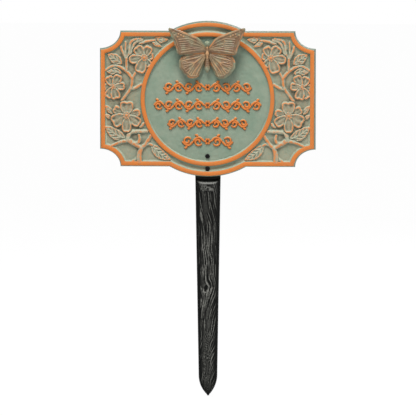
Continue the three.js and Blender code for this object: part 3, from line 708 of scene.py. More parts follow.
def petal_outline(reach, width, square):
    """Points along and across a petal: a narrow neck, and round or square shoulders with a notch between."""
    shoulder, neck_width = 0.64, 0.24
    turn = np.linspace(0, math.pi / 2, 14)
    neck = np.column_stack([2 / math.pi * shoulder * turn, neck_width + (1 - neck_width) * np.sin(turn)])
    bluntness = 1 / (1 + 1.3 * square)
    across, along = bearing(turn[1:]).T ** bluntness
    along = shoulder + (1 - shoulder) * along - 0.06 * square * hump(across, 0, 0.25)
    half = np.vstack([neck, np.column_stack([along, across])]) * [reach, width / 2]
    return np.vstack([half, half[-2::-1] * [1, -1]])


def petal(relief, centre, angle, reach, width, square):
    """A petal as a form to lay, which holds copper best towards its end."""
    turn = math.radians(angle)
    ahead = bearing(turn)
    side = np.array([-ahead[1], ahead[0]])
    outline = petal_outline(reach, width, square)
    corners = centre + outline[:, :1] * ahead + outline[:, 1:] * side
    window, x, y = relief.window(corners, MOAT_WIDTH + 0.5)
    along, across = [(x - centre[0]) * way[0] + (y - centre[1]) * way[1] for way in (ahead, side)]
    edge, _ = path_distance(x, y, np.vstack([corners, corners[:1]]))
    depth = np.where(within_outline(x, y, corners), edge, -edge)
    out = np.clip(along / reach, 0, 1)
    uneven = 1 + 0.12 * np.sin(0.9 * along + 7 * turn) * np.sign(across)
    lip = PETAL_LIP * (0.75 + 0.25 * out) * uneven
    hollow = PETAL_HOLLOW * (1.35 - 0.5 * out)
    crest = hollow + (lip - hollow) * ramp(2.2 + out, 0.5, depth) ** 1.5
    veins = 0.34 * np.cos(16 * np.arctan2(across, along + 2)) * ramp(0.7, 1.8, depth) * out
    height = (crest + veins) * ramp(-WALL_LEAN, 0.4, depth)
    hold = 0.72 + 0.4 * ramp(0.3, 0.8, along / outline[:, 0].max())
    return window, height, hold, depth > -MOAT_WIDTH, depth > -VALLEY_WIDTH


def blossom(relief, place, petals):
    """Six petals, no two alike, round a boss of beads."""
    centre = PANEL * place
    relief.lay_together([petal(relief, centre, *shape) for shape in petals])
    boss = BLOSSOM_EYE * max(reach for _, reach, _, _ in petals)
    relief.bead(centre, boss, 1.2, 0.6)
    relief.bead(centre, 0.42 * boss, 1.7, 1.1)
    for spoke in bearing((np.arange(8) + 0.3) * math.pi / 4):
        relief.bead(centre + 0.74 * boss * spoke, 0.27 * boss, 1.5, 0.9)


def leaf(relief, width, points):
    """A toothed leaf along a curve, with a raised margin, a midrib and slanting veins."""
    corners = PANEL * points
    spine = curve(corners, SPINE_POINTS)
    length = np.linalg.norm(np.diff(spine, axis=0), axis=1).sum()
    widest = width / 2 * np.linalg.norm(corners[-1] - corners[0])
    window, x, y = relief.window(spine, widest + MOAT_WIDTH)
    across, share = path_distance(x, y, spine)
    phase = share * length / LEAF_VEIN_PITCH
    teeth = 1 + 0.04 * np.cos(2 * math.pi * phase)
    half_width = widest * np.sin(math.pi * share**0.85) ** 0.75 * teeth
    depth = half_width - across
    margin = 0.95 * hump(depth, 0.55, 0.6)
    midrib = 0.95 * hump(across, 0, 0.65)
    slant = 0.5 + 0.5 * np.cos(2 * math.pi * (phase - 1.3 * across / LEAF_VEIN_PITCH))
    veins = slant**1.5 * ramp(0.0, 0.7, depth) * ramp(1.0, 2.6, half_width)
    height = LEAF_HEIGHT + np.max([margin, midrib, veins], axis=0)
    relief.lay(window, height * ramp(-WALL_LEAN, 0.45, depth), LEAF_HOLD, depth > -MOAT_WIDTH)


def panel_relief():
    """The right panel's height map, softened and with draft on the upper slopes."""
    right, top = HALF_WIDTH - RELIEF_MARGIN, HALF_HEIGHT - RELIEF_MARGIN
    relief = Relief(RELIEF_LEFT, right, -top, top)
    for width, points in LEAVES:
        leaf(relief, width, points)
    relief.lay_together([relief.stem(*shape) for shape in STEMS])
    for place, petals in BLOSSOMS:
        blossom(relief, place, petals)
    soft = blurred(np.minimum(relief.height, RELIEF_LIMIT), 0.26 / RELIEF_STEP)
    for _ in range(DRAFT_PASSES):
        soft[1:] = np.maximum(soft[1:], soft[:-1] - UPPER_DRAFT * RELIEF_STEP)
    rough = noise(relief.x, relief.y, 7, 1.6) + noise(relief.x, relief.y, 8, 3.5)
    relief.height = np.minimum(soft + 0.22 * rough, RELIEF_LIMIT)
    return relief


def within_panel(x, y):
    """True where the panel's relief reaches, a little way into the rim and the ring."""
    overlap = 1.6
    inset = RIM_INSET - overlap
    notch = NOTCH + inset
    from_side, from_top = HALF_WIDTH - np.abs(x), HALF_HEIGHT - np.abs(y)
    corner = (from_side / notch[0]) ** 2 + (from_top / notch[1]) ** 2
    return (from_side > inset) & (from_top > inset) & (corner > 1) & (np.hypot(x, y) > RING_OUTER - overlap)


def relief_paint(relief):
    """Paint over a panel: copper on the crests with a paler painted highlight, grime and painted shade in the
    hollows, wash between, pale dry-brushing and painted highlights on upward slopes, paler low down.
    """
    x, y, height = relief.x, relief.y, relief.height
    broad, close = [height - blurred(height, reach / RELIEF_STEP) for reach in (1.9, 1.1)]
    climb, lean = np.gradient(height, RELIEF_STEP)
    steep = ramp(0.3, 1.0, np.hypot(climb, lean))
    busy = ramp(0.35, 0.6, blurred((height > 0.8).astype(float), 4 / RELIEF_STEP))
    # Painted light: the panel is made paler towards the bottom, with less wash and more pale brushing.
    low = ramp(-15, -50, y)
    stout = 0.55 * ramp(1.9, 2.5, height)
    crests = ramp(0.28, 0.8, np.max([broad, 1.8 * close, stout], axis=0))
    rubbing = relief.hold * (0.55 + 0.75 * noise(x, y, 9, 3.6))
    # Paler copper on the crests: rubbing and a painted highlight
    rubbed_and_highlight = 0.1 + 0.6 * noise(x, y, 10, 6) + 0.6 * ramp(0.25, 0.8, close)
    off_ring = 0.55 + 0.45 * ramp(1, 9, np.hypot(x, y) - RING_OUTER)
    fine_ridges = ramp(0.05, 0.3, close) * ramp(0.4, 0.9, height)
    return {
        "copper": rubbing * crests * ramp(0.5, 1.2, height),
        # Painted shade in the hollows and moats round the forms, with grime
        "grime_and_shade": (0.2 + 0.62 * busy) * ramp(0.06, 0.6, -broad),
        "wash": (1 - 0.6 * steep) * off_ring * (0.72 + 0.28 * busy) * (1 - 0.25 * low),
        "rubbed_and_highlight": np.clip(rubbed_and_highlight, 0, 1),
        # Dry-brushing on fine ridges, a painted highlight on slopes that face up, and a painted paler tone
        # low on the panel
        "brushed_and_highlight": np.maximum(0.75 * fine_ridges, 0.6 * ramp(0.5, 1.1, -climb)) + 0.12 * low,
    }


def blossom_relief(part):
    """Both panels' reliefs, the left one a mirror image."""
    relief = panel_relief()
    x, y = relief.x, relief.y
    inside = within_panel(x, y)
    kept = inside[:-1, :-1] & inside[:-1, 1:] & inside[1:, :-1] & inside[1:, 1:]
    top = np.stack([x, y, FIELD + 0.04 + relief.height], axis=-1)
    bottom = np.stack([x, y, np.full(x.shape, BURIED_Z)], axis=-1)
    points, faces, masks = block(top, bottom, relief_paint(relief), kept)
    make_piece("blossom_relief_right", points, faces, part, masks, crease=180)
    make_piece("blossom_relief_left", points * [-1, 1, 1], turned(faces), part, masks, crease=180)


# Vines in the medallion: rows of arches, tendrils and leaves, mirrored about a rosette

# Each row has a height and a half length, as shares of the medallion's radius, and a count of lobes.
VINE_ROWS = [(0.186, 0.697, 4), (-0.101, 0.851, 5), (-0.387, 0.635, 4), (-0.673, 0.402, 2)]
ROSETTE_RADIUS = 0.056 * RING_INNER
ARCH_RISE = 0.37
STROKE_HALF_WIDTH = 1.0
STROKE_SECTION = [(1.65, -0.5), (1.6, 0.12), (1.2, 0.5), (0.92, 1.3), (0.5, 1.75), (0, 1.85)]


def stroke(path, widths):
    """Points, faces and masks of a raised stroke along a path: a half-round bar, sunk into the field."""
    ahead = np.gradient(path, axis=0)
    side = ahead[:, ::-1] * [-1, 1] / np.linalg.norm(ahead, axis=1)[:, None]
    across, z = np.transpose(STROKE_SECTION + [(-across, z) for across, z in STROKE_SECTION[-2::-1]])
    out = (widths[:, None] * across)[..., None] * side[:, None]
    rise = np.minimum(1, widths / (0.7 * STROKE_HALF_WIDTH))[:, None]
    points, faces = loft(np.dstack([path[:, None] + out, FIELD + np.where(z > 0, z * rise, z)]))
    upward = np.clip(side[:, 1:] * np.sign(across), 0, 1)
    masks = {
        "copper": np.tile(ramp(0.4, 1.2, z), len(path)),
        # Painted shade at the stroke's foot on the sides that face down
        "grime_and_shade": (0.95 * (z < 0.55) * (1 - upward)).ravel(),
        "wash": np.full(len(points), 0.2),
        # Painted highlight low on the sides that face up
        "brushed_and_highlight": (0.8 * (z < 1.0) * ramp(0.5, 0.95, upward)).ravel(),
    }
    return points, faces, masks


def tapering(path, first, last):
    """A stroke from a path: its points, evenly spaced, and half widths from first to last with round ends."""
    path = spaced(path, count=60)
    widths = np.linspace(first, last, len(path)) * STROKE_HALF_WIDTH
    count = np.arange(len(path))
    from_end = np.linalg.norm(path[1] - path[0]) * np.minimum(count, count[::-1])
    return path, widths * np.sqrt(1 - (1 - np.clip(from_end / widths, 0.04, 1)) ** 2)


def teardrop(base, tip, bend):
    """A leaf from base to tip, bowed to one side by bend times its length."""
    base, tip = np.array(base), np.array(tip)
    t = np.linspace(0, 1, 24)[:, None]
    side = np.array([base[1] - tip[1], tip[0] - base[0]])
    path = base + t * (tip - base) + 4 * t * (1 - t) * bend * side
    return path, STROKE_HALF_WIDTH * (0.1 + 1.1 * np.sin(math.pi * t[:, 0] ** 1.25))


def vine_lobe(start, length, rise):
    """One lobe of a vine: its arch, the tendril curled up under it, and a leaf on its crown."""
    up = math.copysign(1, rise)
    t = np.linspace(0, 1, 60)
    arch = np.stack([start + t * length, rise * np.sin(math.pi * t)], axis=1)
    turn = np.radians(np.linspace(205, 585, 90))
    radius = np.linspace(0.37, 0.1, len(turn))[:, None] * length
    curl = [start + 0.54 * length, -0.12 * rise] + radius * bearing(turn) * [1, up]
    crown = (start + 0.5 * length, 1.05 * rise)
    leaf_tip = (start + 0.86 * length, 1.62 * rise)
    return [tapering(arch, 1.0, 1.0), tapering(curl, 0.8, 1.05), teardrop(crown, leaf_tip, 0.16 * up)]


def vine_work():
    """Every stroke in the medallion: rows of vine on both sides of a rosette."""
    strokes = []
    for height, half_length, lobes in VINE_ROWS:
        middle = np.array([0, height * RING_INNER])
        for spoke in bearing(np.arange(6) * math.pi / 3):
            strokes.append(teardrop(middle + 0.7 * spoke, middle + ROSETTE_RADIUS * spoke, 0))
        length = (half_length * RING_INNER - ROSETTE_RADIUS) / lobes
        for i in range(lobes):
            rise = ARCH_RISE * length * (-1) ** i
            for path, widths in vine_lobe(ROSETTE_RADIUS + i * length, length, rise):
                strokes += [(path + middle, widths), (path * [-1, 1] + middle, widths)]
    return strokes


def medallion_vines(strokes, part):
    points, faces, paints = [], [], []
    for path, widths in strokes:
        more_points, more_faces, more_paint = stroke(path, widths)
        start = sum(map(len, points))
        points.append(more_points)
        faces += [[corner + start for corner in face] for face in more_faces]
        paints.append(more_paint)
    masks = {name: np.concatenate([paint[name] for paint in paints]) for name in paints[0]}
    make_piece("medallion_vines", np.concatenate(points), faces, part, masks, crease=60)


def vine_shade(strokes, points):
    """How far points of the field lie among the vines' strokes, from 0 to 1."""
    step, reach = 0.5, 1.3
    last = int(2 * RING_INNER / step)
    drawn = np.zeros((last + 1, last + 1))
    cell = lambda places: tuple(np.clip(np.rint((places + RING_INNER) / step).astype(int), 0, last).T[::-1])
    for path, _ in strokes:
        drawn[cell(path)] = 1
    return ramp(0.1, 0.22, blurred(drawn, reach / step)[cell(points[:, :2])])


# Butterfly: wings as patches between their edges, with veins, and a turned body

# A wing's span, where its edges leave the body, its lift in degrees, how far it sits behind the body's middle
# and how many scallops its margin has. Edges are shares of the span: the leading and trailing edges run out
# from the body, and the margin joins their ends. Each vein is a half width and points, and dots are points.
Wing = namedtuple("Wing", "span roots lift set_back scallops leading margin trailing veins dots")

FOREWING = Wing(
    span=(39.5, 25.0), roots=(4, -2), lift=13, set_back=0, scallops=4,
    leading=[(0.1, 0.33), (0.21, 0.545), (0.42, 0.71), (0.68, 0.87), (0.91, 0.975)],
    margin=[(0.975, 1), (1, 0.93), (0.965, 0.76), (0.86, 0.38), (0.8, 0.06), (0.765, -0.08)],
    trailing=[(0.42, -0.14), (0.7, -0.13)],
    veins=[
        (0.8, [(2, 4.5), (5, 8), (9.5, 12.4), (17, 16.2), (27, 20.2), (33, 22.4)]),
        (0.8, [(3, 2), (14, 0.9), (26, -0.9)]),
        (0.75, [(3.5, 3.2), (12, 3.5), (26.4, 1.9)]),
        (0.7, [(3.5, 5.4), (9, 9), (17.5, 13.2)]),
        (0.6, [(4, 4.5), (10, 6.6), (16, 8.2)]),
        (0.6, [(17.6, 13.2), (18, 10.6), (16.4, 7.4)]),
        (0.6, [(18.2, 13.6), (28.6, 12.8)]),
        (0.6, [(18.4, 11), (28, 10.4)]),
        (0.6, [(18, 8.8), (27.4, 8.1)]),
        (0.6, [(16.8, 6.8), (27, 5.9)]),
        (0.6, [(15, 5.2), (26.6, 3.9)]),
    ],
    dots=[(33.6, 20.4), (29.2, 18.6), (30, 15.6), (24, 15.8), (33, 17.2), (26.6, 17.4)],
)
FORK = (12.4, -11)
HINDWING = Wing(
    span=(29.2, -28.0), roots=(-1, -8), lift=9, set_back=0.8, scallops=6,
    leading=[(0.4, 0.06), (0.76, 0.12)],
    margin=[(0.93, 0.2), (1, 0.4), (0.97, 0.62), (0.82, 0.83), (0.64, 0.97), (0.46, 1)],
    trailing=[(0.14, 0.55), (0.31, 0.92)],
    veins=[
        (0.75, [(3, -2.4), (12, -3.6), (20, -5), (24.2, -7.4)]),
        (0.7, [(3, -3), (10, -6), (17, -7.5), (24.8, -9.4)]),
        (0.95, [(3, -3.4), (7.5, -7.2), FORK]),
        (0.75, [FORK, (18, -11.3), (24.8, -12.6)]),
        (0.75, [FORK, (17.5, -13.7), (23.6, -17.2)]),
        (0.75, [FORK, (15.4, -15.8), (19.4, -21.8)]),
        (0.8, [(2.8, -4.5), (7, -12), (12, -18.5), (15, -23.6)]),
        (0.8, [(2.4, -6), (5, -13), (8.4, -19), (11, -23.6)]),
        (0.5, [(19.5, -14), (24.4, -15)]),
        (0.5, [(17.6, -17.4), (21.8, -19.8)]),
        (0.5, [(14.6, -18.8), (17.3, -23)]),
        (0.5, [(11.4, -20), (13, -23.8)]),
        (0.5, [(20, -9.9), (24.8, -11)]),
    ],
    dots=[],
)


def wing_patch(shape):
    """Points of a wing: rows go round its scalloped margin and columns out from the body to it."""
    edges = (shape.leading, shape.margin, shape.trailing)
    leading, margin, trailing = [np.multiply(points, shape.span) for points in edges]
    front_root, back_root = [(WING_ROOT, y) for y in shape.roots]
    front = curve(np.vstack([front_root, leading]), WING_COLUMNS)
    back = curve(np.vstack([back_root, trailing]), WING_COLUMNS)
    edge = curve(np.vstack([leading[-1], margin, trailing[-1]]), WING_ROWS)
    share = np.linspace(0, 1, WING_ROWS)[:, None]
    outward = np.linspace(0, 1, WING_COLUMNS)[:, None]
    along = np.gradient(edge, axis=0)
    inward = along[:, ::-1] * [1, -1] / np.linalg.norm(along, axis=1)[:, None]
    dips = 0.5 + 0.5 * np.cos(2 * math.pi * shape.scallops * share)
    edge = edge + SCALLOP_DEPTH * dips * ramp(0, 0.1, share * (1 - share)) * inward
    ruled = (1 - share[:, None]) * front + share[:, None] * back
    chord = (1 - share) * front[-1] + share * back[-1]
    return ruled + outward * (edge - chord)[:, None]


def edge_distances(patch):
    """How far each point of a wing is from its sides, and from its margin."""
    share = np.linspace(0, 1, WING_ROWS)[:, None]
    outward = np.linspace(0, 1, WING_COLUMNS)
    girth = np.linalg.norm(np.gradient(patch, axis=0), axis=-1) * (WING_ROWS - 1)
    reach = np.linalg.norm(np.gradient(patch, axis=1), axis=-1) * (WING_COLUMNS - 1)
    return np.minimum(share, 1 - share) * girth, (1 - outward) * reach


def wing_veins(patch, to_margin, veins, dots):
    """Height over a wing of its veins, the grooves beside them, its dots and its border."""
    x, y = patch[..., 0], patch[..., 1]
    heights = [hump(to_margin, 3.4, 0.55), 0.35 * ramp(3.9, 3.3, to_margin)]
    grooves = [hump(to_margin, 4.5, 0.5)]
    for width, points in veins:
        aside = path_distance(x, y, curve(points, count=24))[0] / width
        heights.append(hump(aside, 0, 1))
        grooves.append(hump(aside, 1.7, 0.6))
    for dot_x, dot_y in dots:
        heights.append(DOT_RADIUS * dome(np.hypot(x - dot_x, y - dot_y), DOT_RADIUS))
    height = np.max(heights, axis=0)
    return height - 0.5 * np.max(grooves, axis=0) * (1 - np.minimum(height, 1))


def wing_paint(x, y, relief, fall):
    """Paint over a wing: bright veins, grime and painted shade in hollows and by the body, green blotches and
    copper-bright bevels, most on the right.
    """
    wear_and_sheen = noise(x, y + THORAX_Y, 31, 6)
    blotch = ramp(0.35, 0.75, noise(x, y + THORAX_Y, 32, 4))
    # Copper-bright bevels, more of them towards the right.
    more_to_right = ramp(0.45, 0.75, wear_and_sheen + 0.006 * x)
    bright_edge = ramp(0.2, 0.45, fall) * ramp(0.95, 0.6, fall) * more_to_right
    near_body = ramp(20, 4, np.hypot(x, y))
    tip = ramp(20, 30, np.abs(x)) * ramp(4, 10, y)
    low = ramp(-4, -12, y)
    hollow = (1 - ramp(-0.4, 0.4, relief)) * (1 - fall)
    vein = np.maximum(relief, 0) * (1 - 0.4 * near_body)
    return {
        "copper": (0.2 + 0.6 * wear_and_sheen) * vein * (1 - fall) + 0.75 * bright_edge + 0.2 * low,
        "rubbed_and_highlight": 0.9 * bright_edge,
        # Grime and painted shade in the hollows between veins and by the body, darker at the tips, lighter on
        # the hindwings
        "grime_and_shade": hollow * (0.6 - 0.5 * low + 0.6 * near_body + 0.4 * tip),
        "patina": (0.45 * blotch + 0.6 * ramp(0.1, 0.6, fall)) * (1 - 0.6 * near_body),
    }


def wing(name, shape, mirror, part):
    """A wing with rounded edges and raised veins."""
    patch = wing_patch(shape)
    to_side, to_margin = edge_distances(patch)
    relief = wing_veins(patch, to_margin, shape.veins, shape.dots)
    fall = np.clip(1 - np.minimum(to_side, to_margin) / WING_BEVEL, 0, 1) ** 1.1
    x, y = patch[..., 0], patch[..., 1]
    middle = BODY_Z + x * math.tan(math.radians(shape.lift)) - shape.set_back
    top = middle + WING_THICKNESS / 2 + WING_RELIEF * relief - (WING_THICKNESS + 0.3) * fall
    bottom = np.minimum(middle - WING_THICKNESS / 2, top - 0.1)
    if mirror:
        x = -x
    sheets = [np.stack([x, y + THORAX_Y, z], axis=-1) for z in (top, bottom)]
    points, faces, masks = block(*sheets, wing_paint(x, y, relief, fall))
    make_piece(name, points, faces if mirror else turned(faces), part, masks, crease=70)


def butterfly_body(part):
    """Head, thorax and abdomen: rows are height from the thorax, and radius."""
    profile = [
        (-21.7, 0.05), (-20.9, 0.9), (-19.2, 1.9), (-17, 2.4), (-14.5, 2.3), (-11.5, 1.9), (-8, 1.5),
        (-5.2, 1.2), (-4.2, 1.35), (-2.2, BODY_RADIUS), (-0.4, 1.5), (1.2, 1.0), (2.6, 0.95), (3.8, 1.3),
        (5, 1), (6.2, 1.1), (7.6, 2.0), (9, 2.4), (10.3, 1.8), (11, 0.05),
    ]
    rings = []
    for y, radius in curve(profile, count=120):
        abdomen = ramp(-5, -8, y) * ramp(-21, -18, y)
        radius = max(radius * (1 + 0.08 * abdomen * math.cos(y * 2 * math.pi / 1.9)), 0.04)
        upright = circle(radius, THORAX_Y + y, steps=40)[:, [0, 2, 1]]
        rings.append(upright * [BODY_BREADTH, 1, -1] + [0, 0, BODY_Z + 0.5])
    points, faces = loft(rings)
    height = ramp(BODY_Z + 0.9, BODY_Z + 2.0, points[:, 2])
    y = points[:, 1] - THORAX_Y
    masks = {
        "copper": 1.1 * height * ramp(-10, -4, y) * ramp(7, 5, y),
        # Painted shade on the body's sides and underside, which face away from the front, and a darker
        # abdomen
        "grime_and_shade": 0.3 * (1 - height) + 0.3 * ramp(-4, -9, y),
        "patina": np.maximum(0.8 * ramp(-13.5, -18, y), 1.4 * ramp(5.5, 7.5, y)),
    }
    make_piece("butterfly_body", points, faces, part, masks)


def butterfly_post(name, y, part):
    """A post from the field to the body, with a fillet at its foot and a neck at its top."""
    profile = [
        (4.3, FIELD + 0.1), (3.75, FIELD + 0.55), (3.4, FIELD + 1.1), (3.2, FIELD + 1.9),
        (3.1, BODY_Z - 1.9), (2.9, BODY_Z - 1.2), (2.5, BODY_Z - 0.6), (2.0, BODY_Z),
    ]
    points, faces = loft([circle(radius, z, steps=48) for radius, z in profile])
    # Painted shade over the whole post, which stands in the shade under the body
    make_piece(name, points + [0, y, 0], faces, part, {"grime_and_shade": np.full(len(points), 0.6)})


def butterfly(part):
    for side, mirror in (("right", False), ("left", True)):
        wing(f"forewing_{side}", FOREWING, mirror, part)
        wing(f"hindwing_{side}", HINDWING, mirror, part)
    butterfly_body(part)
    butterfly_post("butterfly_post_upper", THORAX_Y, part)
    butterfly_post("butterfly_post_lower", THORAX_Y - POST_SPACING, part)


# Stake: a tapering bar with a rounded front, cast with a twisted wood grain

def stake_half_width(y):
    """Half the stake's width: a round-sided point, a tapering bar and a tang with rounded corners."""
    point_radius = (POINT_LENGTH**2 + FOOT_HALF_WIDTH**2) / (2 * FOOT_HALF_WIDTH)
    below = np.clip(FOOT_Y - y, 0, POINT_LENGTH)
    point = FOOT_HALF_WIDTH - point_radius + np.sqrt(point_radius**2 - below**2)
    share = np.clip((y - FOOT_Y) / (-BULGE_RADIUS - FOOT_Y), 0, 1)
    bar = FOOT_HALF_WIDTH + (STAKE_HALF_WIDTH - FOOT_HALF_WIDTH) * share
    over = np.clip(y - (TANG_TOP - TANG_CORNER), 0, TANG_CORNER)
    corner = TANG_CORNER - np.sqrt(TANG_CORNER**2 - over**2)
    return np.maximum(np.where(y < FOOT_Y, point, bar) - corner, TIP_HALF_WIDTH)


def stake_levels():
    """Heights of the stake's rows of points, closest together at the lip under the plaque."""
    tang_corner_y = TANG_TOP - TANG_CORNER
    return np.concatenate([
        TIP_Y + POINT_LENGTH * np.linspace(0, 1, 60) ** 1.3,
        np.arange(FOOT_Y + 0.5, LIP_Y - 1, 0.5),
        np.arange(LIP_Y - 0.8, -SHOULDER_RADIUS + 1.5, 0.2),
        np.linspace(-SHOULDER_RADIUS + 1.8, tang_corner_y, 30),
        tang_corner_y + TANG_CORNER * np.sin(np.linspace(0.1, 1, 12) * math.pi / 2),
    ])


def stake_grain(x, y):
    """Height of the wood grain: strands that lean one way above a knot, part round it and lean back below."""
    dx, dy = (x - KNOT[0]) / KNOT_RADIUS[0], (y - KNOT[1]) / KNOT_RADIUS[1]
    reach = (np.abs(dx) ** 3 + np.abs(dy) ** 3) ** (1 / 3)
    parted = x - 0.5 * KNOT_RADIUS[0] * dx / np.maximum(reach, 0.9) ** 2
    above, below = np.maximum(y - KNOT[1], 0), np.maximum(KNOT[1] - y, 0)
    lean = 0.13 * above + 0.3 * below * (0.35 + 0.65 * ramp(-6, 4, x))
    flow = parted + lean + 1.6 * np.sin(y / 17) + 0.7 * np.sin(y / 6.1 + 1)
    crowded = 0.12 * hump(y, KNOT[1], 40)
    under_lip = hump(y, LIP_Y - 5, 3) * ramp(9, 6, np.abs(x))
    ridged = 1 - np.abs(2 * noise(x / 2.3, y / 1.9, 25) - 1)
    curls = 0.8 * ridged**3 * under_lip
    loop = 0.7 * hump(reach, 1, 0.14) * ramp(0.6, -0.3, dy) * noise(x, y, 26, 2)
    forms = [np.zeros(x.shape), curls, loop]
    for layer, (pitch, strength) in enumerate(((STRAND_PITCH, 1.0), (0.8 * STRAND_PITCH, 0.8))):
        wander = flow / pitch + 1.8 * noise(flow * 0.2, y * 0.04, 21 + layer)
        shown = ramp(0.4, 0.85, noise(flow * 0.7, y * 0.09, 23 + layer) + crowded)
        forms.append(strength * (0.5 + 0.5 * np.cos(2 * math.pi * wander)) ** 4 * shown)
    hollow = ramp(0.6, 0.2, np.hypot(dx, dy + 0.25))
    return np.max(forms, axis=0) - 0.4 * hollow


def stake(part):
    """The bar with its grain, cut back above the lip to the tang that the plaque is screwed to."""
    across = np.sin(np.linspace(-math.pi / 2, math.pi / 2, STAKE_COLUMNS))
    levels = stake_levels()[:, None]
    half = stake_half_width(levels)
    x = half * across
    y = np.broadcast_to(levels, x.shape)
    from_middle = np.abs(across)
    slim = np.minimum(1, half / FOOT_HALF_WIDTH) ** 0.7
    grain = stake_grain(x, y)
    depth = ramp(0.86, 0.56, from_middle) * ramp(0.3, 1.0, slim)
    side_top = STAKE_BACK + (TANG_FRONT - STAKE_BACK) * slim
    crown = (STAKE_FRONT - TANG_FRONT) * slim - GRAIN_DEPTH
    rounded = np.clip(1 - from_middle**3.6, 0, 1) ** 0.5
    front = np.minimum(side_top + crown * rounded + GRAIN_DEPTH * depth * grain, STAKE_FRONT)
    below_shoulder = -np.sqrt(SHOULDER_RADIUS**2 - x**2) - y
    cut = TANG_FRONT + SHOULDER_STEEPNESS * np.maximum(below_shoulder, 0)
    below_lip = (cut - front) / SHOULDER_STEEPNESS
    wear = depth * (0.8 + 0.48 * ramp(-120, -165, y))
    flats = 1 - ramp(0.0, 0.1, blurred(grain, 3) - grain)
    # Wear on the grain's ridges, and a painted sheen on the flats down the middle of the front
    wear_and_sheen = 0.24 * flats * ramp(0.85, 0.2, from_middle) + 0.8 * ramp(0.1, 0.6, grain)
    paint = {
        # A faint painted lift of light on the tang, which lies in the plaque's shadow
        "ridge_wear_and_sheen": np.where(below_lip > 0, wear_and_sheen * wear, 0.05),
        # A pale band along the lip: worn paint and a painted highlight
        "lip_wear_and_highlight": hump(below_lip, 0.3, 0.85) * ramp(0.9, 0.5, from_middle),
    }
    top = np.stack([x, y, np.minimum(front, cut)], axis=-1)
    bottom = np.stack([x, y, np.full(x.shape, STAKE_BACK)], axis=-1)
    points, faces, masks = block(top, bottom, paint, paint_under=0)
    make_piece("stake_bar", points, faces, part, masks, crease=60)


# Screws: turned heads with a cross recess

def cross_recess(x, y):
    """How deep the recess is at points of a head, from 0 to 1."""
    bar = lambda u, v: ramp(1.5, 1.25, np.abs(u)) * ramp(0.45, 0.28, np.abs(v))
    return np.maximum(bar(x, y), bar(y, x))


def screw(node, slot, material):
    """A pan-head screw in the place of its node, the stake's facing forwards and the butterfly's back."""
    low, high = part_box(node)
    middle = (low + high) / 2 / MM
    outward = 1 if node.startswith("stake") else -1
    head, shank, crown = HEAD_RADIUS, SHANK_RADIUS, 0.9 * HEAD_RADIUS
    seat = (high.y - low.y) / MM - HEAD_EDGE - HEAD_CROWN
    edge = seat + HEAD_EDGE
    profile = [(0.05, 0), (0.8 * shank, 0), (shank, 0.45), (shank, seat), (head - 0.12, seat)]
    profile += [(head, seat + 0.15), (head, seat + 0.8), (0.97 * head, seat + 1.05), (crown, edge)]
    for radius in np.linspace(0.86 * head, 0.06, 26):
        profile.append((radius, edge + HEAD_CROWN * (1 - (radius / crown) ** 2)))
    rings = [circle(radius, z, steps=96) for radius, z in profile]
    for ring in rings:
        x, y, z = ring.T
        ring[:, 2] -= np.where(z > edge - 0.05, RECESS_DEPTH * cross_recess(x, y), 0)
    points, faces = loft(rings)
    tip_z = -(high.y if outward > 0 else low.y) / MM
    points = points * [1, outward, outward] + [middle.x, middle.z - CENTRE_Z, tip_z]
    make_piece(node.replace("screw", "pan_screw"), points, faces, Part(node, slot, material), crease=50)


# Stage: pale floor, white surroundings, soft lights and the camera

PHOTO_SIZE = 416
PHOTO_SCALE = 1.0268
MEDALLION_PIXEL = (207.45, 99.3)
CAMERA_AZIMUTH = 3.0
CAMERA_ELEVATION = 5.5
CAMERA_DISTANCE = 6.0


def seen_directly(tree):
    """1 for rays from the camera, a gloss or glass, and 0 for those that only light the scene."""
    path = add_node(tree, "ShaderNodeLightPath").outputs
    gloss = reckoned(tree, "MAXIMUM", path["Is Glossy Ray"], path["Is Transmission Ray"])
    return reckoned(tree, "MAXIMUM", path["Is Camera Ray"], gloss)


def surroundings(ambient):
    world = bpy.data.worlds.new("studio")
    bpy.context.scene.world = world
    world.use_nodes = True
    tree = world.node_tree
    strength = remapped(tree, seen_directly(tree), 0, 1, ambient, 1.0)
    set_inputs(tree, tree.nodes["Background"], {"Color": WHITE, "Strength": strength})


def floor():
    """A floor under the stake's tip that looks white and gives back a little of its light."""
    size, below = 6.0, 0.002
    mesh = bpy.data.meshes.new("studio_floor")
    height = stake_low.z - below
    corners = [(-size, -size, height), (size, -size, height), (size, size, height), (-size, size, height)]
    mesh.from_pydata(corners, [], [(0, 1, 2, 3)])
    material, tree, shader = new_material("floor_white")
    set_inputs(tree, shader, {"Base Color": (0.6, 0.6, 0.6, 1), "Roughness": 0.9})
    glow = add_node(tree, "ShaderNodeEmission", {"Color": WHITE, "Strength": 1.04})
    share = reckoned(tree, "MULTIPLY", seen_directly(tree), 0.93)
    blend = add_node(tree, "ShaderNodeMixShader", {0: share, 1: shader.outputs[0], 2: glow.outputs[0]})
    set_inputs(tree, tree.nodes["Material Output"], {"Surface": blend.outputs[0]})
    mesh.materials.append(material)
    plane = add_object("studio_floor", mesh)


def area_light(name, place, aim, size, power):
    lamp = bpy.data.lights.new(name, "AREA")
    lamp.size = size
    lamp.energy = power
    light = add_object(name, lamp)
    light.location = place
    light.rotation_euler = (Vector(aim) - Vector(place)).to_track_quat("-Z", "Y").to_euler()


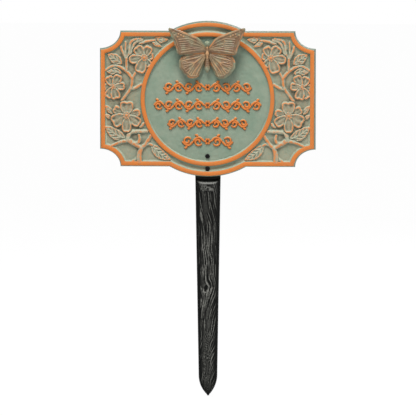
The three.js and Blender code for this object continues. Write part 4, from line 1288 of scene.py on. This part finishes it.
def camera():
    """The photograph's view: a long lens, aimed so that the medallion falls on its pixel."""
    azimuth, elevation = math.radians(CAMERA_AZIMUTH), math.radians(CAMERA_ELEVATION)
    level = math.cos(elevation)
    back = Vector((math.sin(azimuth) * level, -math.cos(azimuth) * level, math.sin(elevation)))
    right = Vector((math.cos(azimuth), math.sin(azimuth), 0))
    up = back.cross(right)
    offset = [(PHOTO_SIZE / 2 - pixel) * PHOTO_SCALE * MM for pixel in MEDALLION_PIXEL]
    medallion = Vector((0, -RIM_TOP * MM, CENTRE_Z * MM))
    aim = medallion + offset[0] * right - offset[1] * up
    lens = bpy.data.cameras.new("camera")
    lens.sensor_width = 36
    lens.lens = lens.sensor_width * CAMERA_DISTANCE / (PHOTO_SIZE * PHOTO_SCALE * MM)
    lens.clip_end = 100
    shot = add_object("camera", lens)
    shot.location = aim + CAMERA_DISTANCE * back
    shot.rotation_euler = (-back).to_track_quat("-Z", "Y").to_euler()
    bpy.context.scene.camera = shot


def studio():
    bpy.context.scene.view_settings.view_transform = "Standard"
    surroundings(ambient=0.3)
    floor()
    area_light("key", place=(-0.15, -0.7, 1.35), aim=(0, 0, 0.12), size=0.6, power=22)
    area_light("front_fill", place=(0.5, -0.45, 0.0), aim=(0.05, 0, 0.15), size=0.25, power=0.75)
    area_light("back_fill", place=(0.5, 1.2, 0.8), aim=(0, 0, 0.12), size=0.8, power=12)
    camera()


def build():
    plaque = Part("plaque_casting", "verdigris", casting_paint())
    strokes = vine_work()
    plate(plaque)
    medallion_ring(plaque)
    medallion_field(strokes, plaque)
    blossom_relief(plaque)
    medallion_vines(strokes, plaque)
    butterfly(Part("butterfly_casting", "bronze", antique_bronze()))
    stake(Part("stake_casting", "black_paint", stake_paint()))
    oxide = screw_finish("black_oxide", OXIDE_BLACK, metallic=0.0, roughness=0.4)
    zinc = screw_finish("zinc_plate", ZINC, metallic=1.0, roughness=0.3)
    for level in ("upper", "lower"):
        screw(f"stake_screw_{level}", "black_steel", oxide)
        screw(f"butterfly_screw_{level}", "zinc_steel", zinc)


studio()
build()
